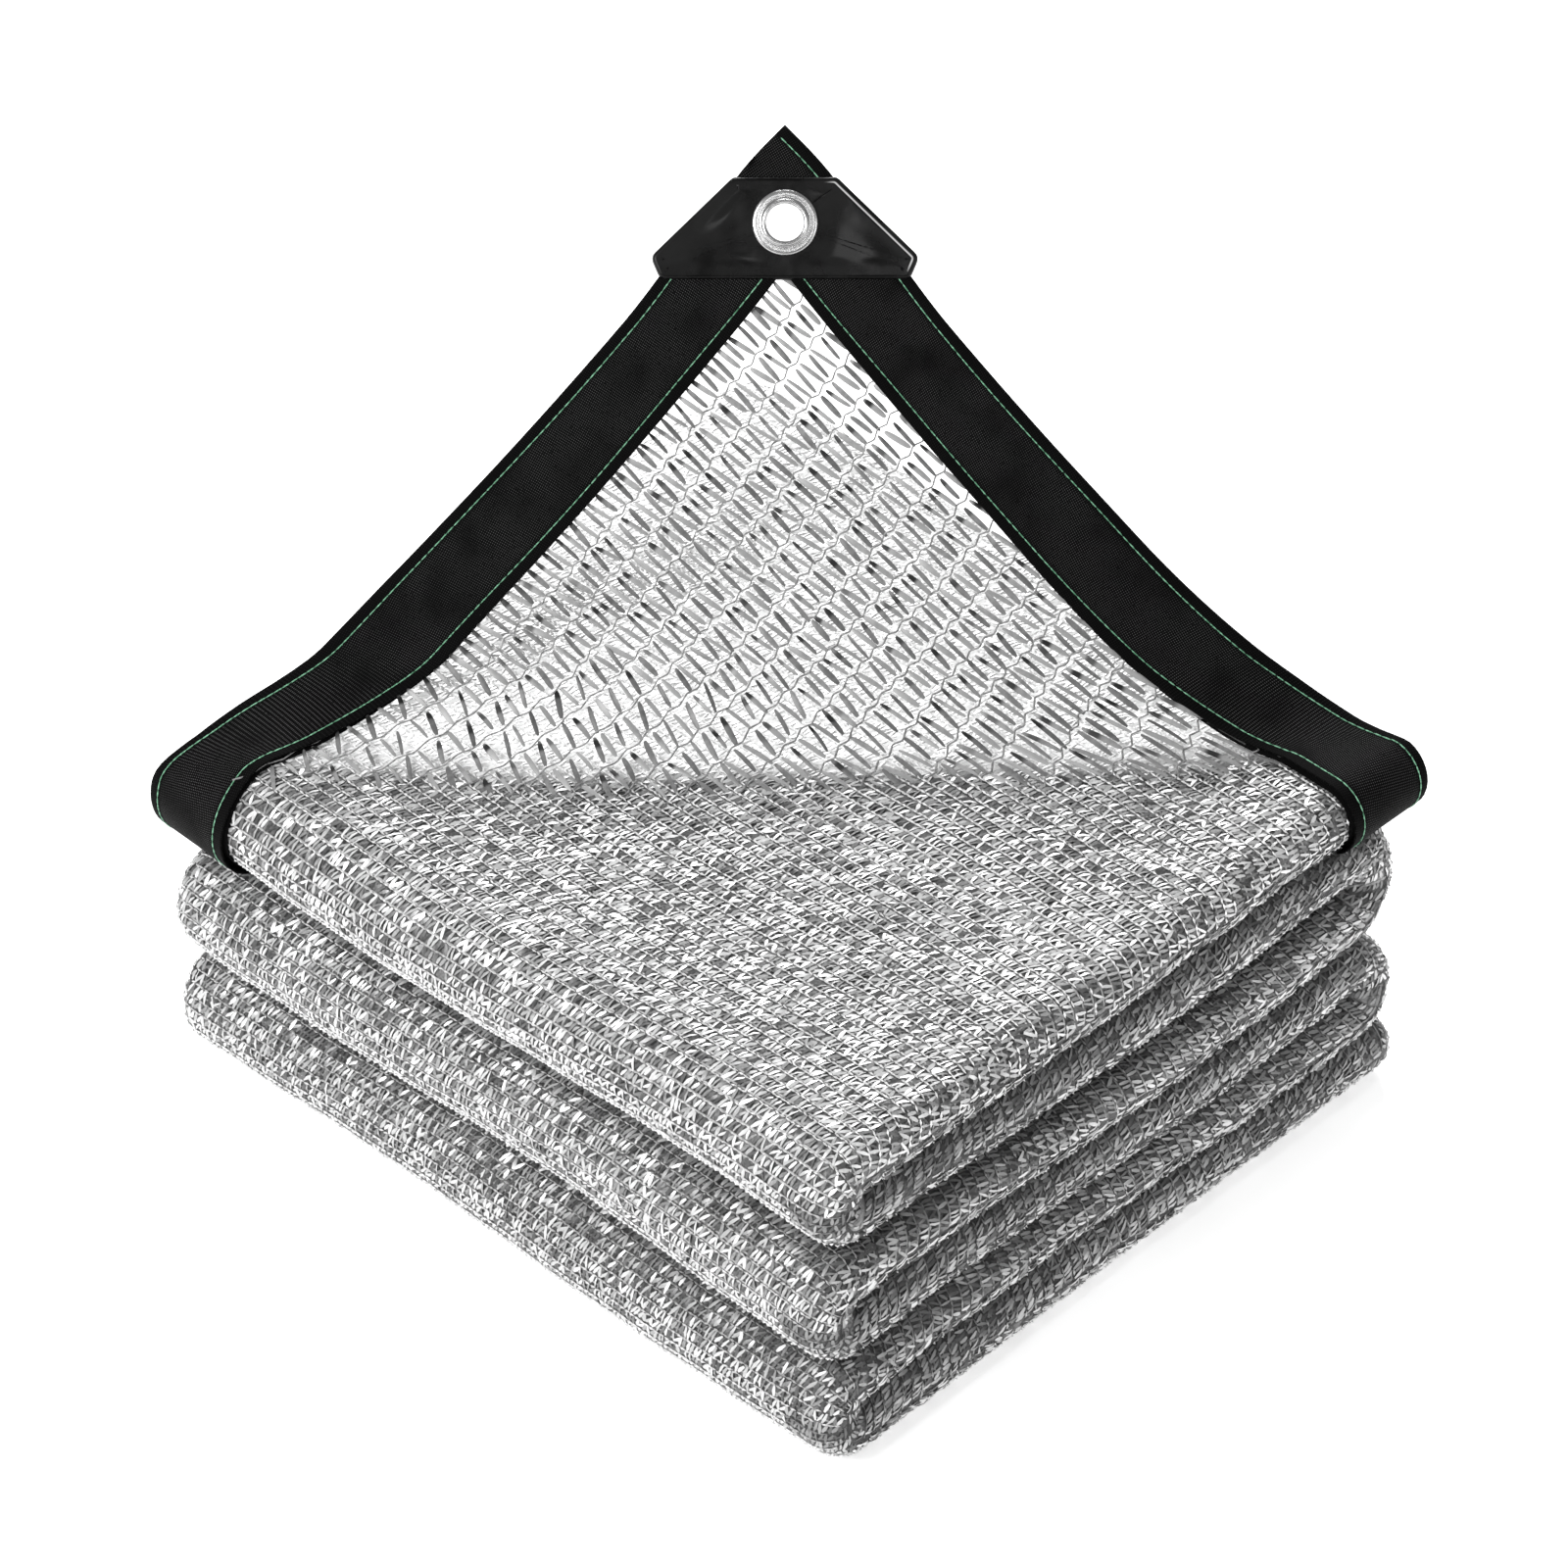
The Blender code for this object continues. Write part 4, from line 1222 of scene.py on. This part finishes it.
def on_right(place, inward):
    return TIP_X - inward, np.full_like(inward, place)


left_tape = tape_piece("left_tape", left_places, on_left, tape_black)
right_tape = tape_piece("right_tape", right_places, on_right, tape_black)
print("tape triangles:", triangles(left_tape), triangles(right_tape))

# %% [markdown]
# The eyelet goes right through the corner, so the tape there needs a round hole. A Boolean
# modifier cuts it, and new_from_object keeps the cut mesh, so no live modifier is left.

# %% Hole in the tape
EYELET_DOWN, EYELET_PASS = 35 * MM, 7.65 * MM
PATCH_HALF = TAPE_HALF + 0.35 * MM + 0.9 * MM


def corner_frame():
    """Placement of things on the lifted corner: X across, Y up to the tip, Z out of it."""
    side = Vector((*from_diagonal(1.0, 0.0), 0.0))
    level = Vector((*from_diagonal(0.0, 1.0), 0.0))
    upward = level * math.cos(SLOPE) + Vector((0.0, 0.0, math.sin(SLOPE)))
    placed = Matrix((side, upward, side.cross(upward))).transposed().to_4x4()
    placed.translation = Vector((*from_diagonal(0.0, TIP_AWAY), TIP_HEIGHT))
    return placed


CORNER = corner_frame()
EYELET_FRAME = CORNER @ Matrix.Translation((0.0, -EYELET_DOWN, 0.0))


def plain_result(made):
    """The piece with its modifiers applied."""
    view = bpy.context.evaluated_depsgraph_get()
    view.update()
    mesh = bpy.data.meshes.new_from_object(made.evaluated_get(view))
    made.modifiers.clear()
    made.data = mesh
    return made


def cut_round_hole(made, placed, radius):
    ring = [(radius * math.cos(a), radius * math.sin(a)) for a in np.linspace(0, 2 * math.pi, 65)[:-1]]
    points = [(x, y, z) for z in (-12 * MM, 12 * MM) for x, y in ring]
    faces = [(s, (s + 1) % 64, 64 + (s + 1) % 64, 64 + s) for s in range(64)]
    faces += [tuple(range(64))[::-1], tuple(range(64, 128))]
    cutter = mesh_piece("cutter", [placed @ Vector(p) for p in points], faces)
    cutter.data.uv_layers.new(name="tape")
    cut = made.modifiers.new("hole", "BOOLEAN")
    cut.object, cut.operation, cut.solver = cutter, "DIFFERENCE", "EXACT"
    plain_result(made)
    bpy.data.objects.remove(cutter)


cut_round_hole(right_tape, EYELET_FRAME, EYELET_PASS)
print("right tape after the cut:", triangles(right_tape))

# %% [markdown]
# Each seam is a row of stitches in pale green thread. A stitch is a short capsule that dips into
# the tape at both ends. One tree sets them at even steps along a line, turned along it.


# %% Seams
def stitch_tree():
    inputs = {
        "Pitch": "Float",
        "Length": "Float",
        "Radius": "Float",
        "Seed": "Int",
        "Material": "Material",
    }
    tree, wire, given = new_tree("stitches", inputs)
    curve = wire.node("GeometryNodeMeshToCurve", sockets=[given["Geometry"]])
    even = wire.node(
        "GeometryNodeResampleCurve", {"mode": "LENGTH"}, {"Curve": curve, "Length": given["Pitch"]}
    )
    tangent = wire.node("GeometryNodeInputTangent")
    rod = wire.node(
        "GeometryNodeMeshUVSphere", sockets={"Segments": 6, "Rings": 5, "Radius": 0.5}
    )
    aimed = wire.node("FunctionNodeAlignRotationToVector", {"axis": "X"}, {"Vector": tangent})
    slack = wire.node(
        "FunctionNodeRandomValue", {"data_type": "FLOAT"}, {2: 0.85, 3: 1.1, "Seed": given["Seed"]}, output=1
    )
    thick = given["Radius"] * 2
    scale = wire.node("ShaderNodeCombineXYZ", sockets=[given["Length"] * slack, thick, thick])
    spread = wire.node(
        "GeometryNodeInstanceOnPoints",
        sockets={"Points": even, "Instance": rod, "Rotation": aimed, "Scale": scale},
    )
    real = wire.node("GeometryNodeRealizeInstances", sockets={"Geometry": spread})
    soft = wire.node("GeometryNodeSetShadeSmooth", sockets={"Geometry": real})
    painted = wire.node(
        "GeometryNodeSetMaterial", sockets={"Geometry": soft, "Material": given["Material"]}
    )
    wire.node("NodeGroupOutput", sockets=[painted])
    return tree


def green_thread(wire):
    place = wire.node("ShaderNodeTexCoord", output="Object")
    ply = wire.node("ShaderNodeTexNoise", sockets={"Vector": place, "Scale": 900.0})
    return {
        "Base Color": mixed(ply.clamped(0.3, 0.7), (0.05, 0.2, 0.1, 1), (0.22, 0.5, 0.32, 1)),
        "Roughness": 0.5 + ply * 0.2,
        "Sheen Weight": 0.2,
    }


def seam_lines(places, flat_place, ends):
    """Lines along both rows of stitches, on both faces of a tape."""
    first, last = ends
    fine = np.arange(places[0] + first, places[-1] - last, 1.6 * MM)
    lines = []
    for seam, inward in enumerate(STITCH_IN):
        wander = 0.25 * MM * np.sin(fine / (23 * MM) + seam * 2)
        x, y = flat_place(fine, inward + wander)
        for face in (1, -1):
            lines.append(settle(ply_point(x, y, np.full(len(fine), face * (TAPE_HALF - 0.02 * MM)))))
    return lines


def left_seam(run, inward):
    return run, TIP_Y - inward


def right_seam(run, inward):
    return TIP_X - inward, run


STITCHES = stitch_tree()
green = finish_material("pale_green_thread", green_thread)
values = {
    "Pitch": 3.4 * MM,
    "Length": 4.1 * MM,
    "Radius": 0.26 * MM,
    "Seed": 2,
    "Material": green,
}
left_seams = grow(
    "left_seams",
    lines_guide("left_lines", seam_lines(left_places, left_seam, (1 * MM, 2 * MM))),
    STITCHES,
    values,
)
right_seams = grow(
    "right_seams",
    lines_guide("right_lines", seam_lines(right_places, right_seam, (1 * MM, 3 * MM))),
    STITCHES,
    values,
)

# %% [markdown]
# A glossy coated patch strengthens the corner. It is one closed surface made of rings, from the
# eyelet's hole out to the patch's outline and round to the back. Its front ply ends a little
# short of the right edge, which leaves a thin step, with a painted highlight along it.

# %% Corner patch
PATCH_CORNERS = ((18.5, -18.5), (48, -47), (44.5, -55.3), (-44.5, -55.3), (-48, -47), (-18.5, -18.5))
PATCH_ROUND = 3.2 * MM
PATCH_POINTS = 192
RIM_INSETS = (0.0, 0.12, 0.4, 0.9, 1.6, 2.0, 2.2, 2.45, 3.0, 4.5)
PATCH_RINGS = 16


def rounded(corners, radius, steps=6):
    """An outline with each of its corners turned into a short arc."""
    outline = []
    for here, corner in enumerate(corners):
        corner = Vector(corner)
        before = (Vector(corners[here - 1]) - corner).normalized()
        after = (Vector(corners[(here + 1) % len(corners)]) - corner).normalized()
        half_angle = before.angle(after) / 2
        setback = radius / math.tan(half_angle)
        middle = corner + (before + after).normalized() * radius / math.sin(half_angle)
        start, end = corner + before * setback - middle, corner + after * setback - middle
        for step in range(steps + 1):
            outline.append(middle + start.lerp(end, step / steps).normalized() * radius)
    return np.array([tuple(p) for p in outline])


def even_outline(outline, count):
    closed = np.vstack([outline, outline[:1]])
    run = np.concatenate([[0], np.cumsum(np.linalg.norm(np.diff(closed, axis=0), axis=1))])
    at = np.linspace(0, run[-1], count + 1)[:-1]
    return np.stack([np.interp(at, run, closed[:, k]) for k in (0, 1)], axis=1)


def patch_face(outline, face):
    """Rings of one face, from the outline in to the hole, in the corner's own frame."""
    ahead, behind = np.roll(outline, -1, axis=0), np.roll(outline, 1, axis=0)
    run = unit(ahead - behind)
    inward = np.stack((-run[:, 1], run[:, 0]), axis=1)
    inward *= np.sign(np.sum(inward * (np.array([0, -38 * MM]) - outline), axis=1).mean())
    right = smooth((outline[:, 0] - 14 * MM) / (6 * MM))
    right *= 1 - smooth((-outline[:, 1] - 50 * MM) / (4 * MM))
    hole = np.array([0.0, -EYELET_DOWN])
    rings = []
    for inset in RIM_INSETS:
        flat = outline + inward * inset * MM
        edge = 1.1 * MM
        part = min(1.0, inset * MM / edge)
        height = PATCH_HALF * math.sqrt(1 - (1 - part) ** 2)
        step = 0.75 * MM * right * (1 - smooth((inset - 2.0) / 0.35)) * part
        # A painted highlight along the step, on the front face only.
        shine = right * (1.9 < inset < 2.3) * (face > 0)
        rings.append((flat, height - (step if face > 0 else 0.0), shine))
    rim = rings[-1][0]
    toward = unit(rim - hole)
    for share in np.linspace(0, 1, PATCH_RINGS + 1)[1:]:
        circle = hole + toward * (EYELET_PASS + 0.2 * MM)
        flat = rim * (1 - share) + circle * share
        x, y = flat[:, 0], flat[:, 1]
        dent = 0.28 * np.sin(x / 0.0085 + 1.1) * np.sin(y / 0.007 + x / 0.021)
        dent += 0.22 * np.sin(x / 0.017 - y / 0.009 + 2.0)
        far = np.linalg.norm(flat - hole, axis=1)
        dent *= smooth((far - 12.5 * MM) / (8 * MM)) * smooth(share * 3)
        rings.append((flat, PATCH_HALF + dent * MM, 0.0))
    level = np.ones(len(outline))
    return [np.column_stack((flat, face * high * level, shine * level)) for flat, high, shine in rings]


def corner_patch_piece():
    outline = even_outline(rounded([(x * MM, y * MM) for x, y in PATCH_CORNERS], PATCH_ROUND), PATCH_POINTS)
    front, back = patch_face(outline, 1), patch_face(outline, -1)
    rings = front[::-1] + back[1:]
    faces = []
    for row in range(len(rings)):
        here, there = row * PATCH_POINTS, ((row + 1) % len(rings)) * PATCH_POINTS
        for step in range(PATCH_POINTS):
            following = (step + 1) % PATCH_POINTS
            faces.append((here + step, here + following, there + following, there + step))
    laid = np.concatenate(rings)
    made = mesh_piece("patch", [CORNER @ Vector(p) for p in laid[:, :3]], faces, patch_black)
    outward_normals(made)
    # Carries the painted highlight to the material.
    add_numbers(made.data, "shine", laid[:, 3])
    return made


def glossy_black(wire):
    """Coated sheet: deep black, with smeared gloss, fine dust and a painted highlight along the step."""
    place = wire.node("ShaderNodeTexCoord", output="Object")
    smear = wire.node(
        "ShaderNodeTexNoise", sockets={"Vector": place, "Scale": 60.0, "Detail": 3.0}
    )
    dust = wire.node("ShaderNodeTexNoise", sockets={"Vector": place, "Scale": 1800.0})
    soft = smear.clamped(0.35, 0.7)
    black = mixed(soft * 0.6 + dust.clamped(0.6, 0.75) * 0.2, grey(0.002), grey(0.01))
    return {
        # The painted highlight is light grey on the black.
        "Base Color": mixed(number(wire, "shine"), black, grey(0.75)),
        "Roughness": 0.2 + soft * 0.2,
        "Coat Weight": 0.08,
        "Coat Roughness": 0.1,
        "Specular IOR Level": 0.12,
        "Normal": wire.node(
            "ShaderNodeBump", sockets={"Strength": 0.25, "Distance": 1.2 * MM, "Height": smear}
        ),
    }


patch_black = finish_material("glossy_black_patch", glossy_black)
patch = corner_patch_piece()
print("patch triangles:", triangles(patch))

# %% [markdown]
# The eyelet is pressed from bright metal: a flange, a raised lip round the hole, a barrel, and a
# rolled back. Its outline is turned round the hole's axis, with enough steps to look round.

# %% Eyelet
EYELET_HOLE, EYELET_BARREL, EYELET_FLANGE = 6.6 * MM, 7.3 * MM, 11.75 * MM
EYELET_STEPS = 96
FACE = PATCH_HALF + 0.3 * MM
EYELET_OUTLINE = (  # radius, height over the patch, in mm, on the front and then on the back
    [(6.6, 0.2), (6.62, 0.8), (6.75, 1.3), (7.0, 1.65), (7.35, 1.86), (7.7, 1.9), (8.05, 1.8)]
    + [(8.35, 1.5), (8.55, 1.12), (8.8, 0.98), (9.3, 1.02), (10.3, 1.1), (11.0, 1.05)]
    + [(11.45, 0.85), (11.7, 0.5), (11.75, 0.2), (11.65, 0.0), (9.0, 0.0), (7.3, 0.0)],
    [(7.3, 0.0), (9.5, 0.0), (11.1, 0.0), (11.2, 0.3), (11.0, 0.7), (10.4, 0.9), (9.2, 1.05)]
    + [(8.2, 1.15), (7.4, 1.1), (6.9, 0.85), (6.65, 0.5), (6.6, 0.2)],
)


def eyelet_piece():
    front = [(r * MM, FACE + h * MM) for r, h in EYELET_OUTLINE[0]]
    back = [(r * MM, -FACE - h * MM) for r, h in EYELET_OUTLINE[1]]
    outline = front + back
    points, faces = [], []
    for turn in np.linspace(0, 2 * math.pi, EYELET_STEPS + 1)[:-1]:
        points += [(r * math.cos(turn), r * math.sin(turn), z) for r, z in outline]
    count = len(outline)
    for step in range(EYELET_STEPS):
        here, there = step * count, ((step + 1) % EYELET_STEPS) * count
        for row in range(count):
            following = (row + 1) % count
            faces.append((here + row, there + row, there + following, here + following))
    made = mesh_piece("turned_eyelet", [EYELET_FRAME @ Vector(p) for p in points], faces, bright)
    outward_normals(made)
    return made


def bright_metal(wire):
    """Polished metal with soft rubbed places."""
    rub = noise(wire, 260.0, 1.0)
    return {
        "Base Color": mixed(rub.clamped(0.3, 0.75), grey(0.5), grey(0.6)),
        "Roughness": 0.22 + rub * 0.08,
        "Metallic": 1.0,
    }


bright = finish_material("bright_eyelet_metal", bright_metal)
eyelet = eyelet_piece()
print("eyelet triangles:", triangles(eyelet))

# %% [markdown]
# The cloth stands on a plain pale floor in soft white light, as in a catalogue picture. A light
# behind the lifted corner makes its open net stand out against a bright ground.

# %% Floor, light and camera
scene = bpy.context.scene
scene.view_settings.view_transform = "Standard"


def pale_floor(wire):
    return {
        "Base Color": grey(0.92),
        "Roughness": 0.9,
        "Emission Color": grey(1.0),
        "Emission Strength": 0.5,
    }


floor = mesh_piece(
    "floor",
    [(-6, -6, 0), (6, -6, 0), (6, 6, 0), (-6, 6, 0)],
    [(0, 1, 2, 3)],
    finish_material("pale_floor", pale_floor),
)
floor.location.z = -0.3 * MM

world = bpy.data.worlds.new("studio")
world.use_nodes = True
world.node_tree.nodes["Background"].inputs["Color"].default_value = grey(1.0)
world.node_tree.nodes["Background"].inputs["Strength"].default_value = 0.3
scene.world = world


def soft_light(name, place, aim, size, power):
    data = bpy.data.lights.new(name, "AREA")
    data.size, data.energy = size, power
    made = bpy.data.objects.new(name, data)
    made.location = place
    made.rotation_euler = (Vector(aim) - Vector(place)).to_track_quat("-Z", "Y").to_euler()
    scene.collection.objects.link(made)
    return made


soft_light("key_from_the_left", (-1.4, 0.1, 1.3), (0, 0, 0.1), 0.8, 30)
soft_light("fill_from_the_front", (0.2, -1.8, 1.1), (0, 0, 0.1), 1.0, 8.5)
soft_light("light_behind_the_corner", (1.1, 1.1, 1.25), (0.05, 0.05, 0.12), 0.9, 44)
soft_light("glint_on_the_patch", (-1.0, -1.25, 1.95), (0.08, 0.09, 0.29), 0.22, 1.6)

PIXEL = 0.35 * MM
AZIMUTH, ELEVATION = math.radians(-46.0), math.radians(40.9)
back = Vector(
    (
        math.sin(AZIMUTH) * math.cos(ELEVATION),
        -math.cos(AZIMUTH) * math.cos(ELEVATION),
        math.sin(ELEVATION),
    )
)
right_hand = Vector((math.cos(AZIMUTH), math.sin(AZIMUTH), 0.0))
lens = bpy.data.cameras.new("camera")
lens.lens, lens.sensor_width = 200, 36
DISTANCE = 1600 * PIXEL * lens.lens / lens.sensor_width
camera = bpy.data.objects.new("camera", lens)
camera.location = Vector((0, 0, 131 * MM)) - right_hand * PIXEL + back * DISTANCE
camera.rotation_euler = (-back).to_track_quat("-Z", "Y").to_euler()
scene.collection.objects.link(camera)
scene.camera = camera
print("camera at", tuple(round(c, 3) for c in camera.location))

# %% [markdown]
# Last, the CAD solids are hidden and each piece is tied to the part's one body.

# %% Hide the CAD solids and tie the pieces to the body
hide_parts("cloth")
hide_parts("hem_left")
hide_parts("hem_right")
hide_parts("corner_patch")
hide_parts("eyelet")
net_pieces = [*knit_pieces, stack_chains, lifted_net, lifted_chains]
tape_pieces = [left_tape, right_tape, left_seams, right_seams]
for piece in (folded_cloth, *net_pieces, *tape_pieces, patch, eyelet):
    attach(piece, "root")
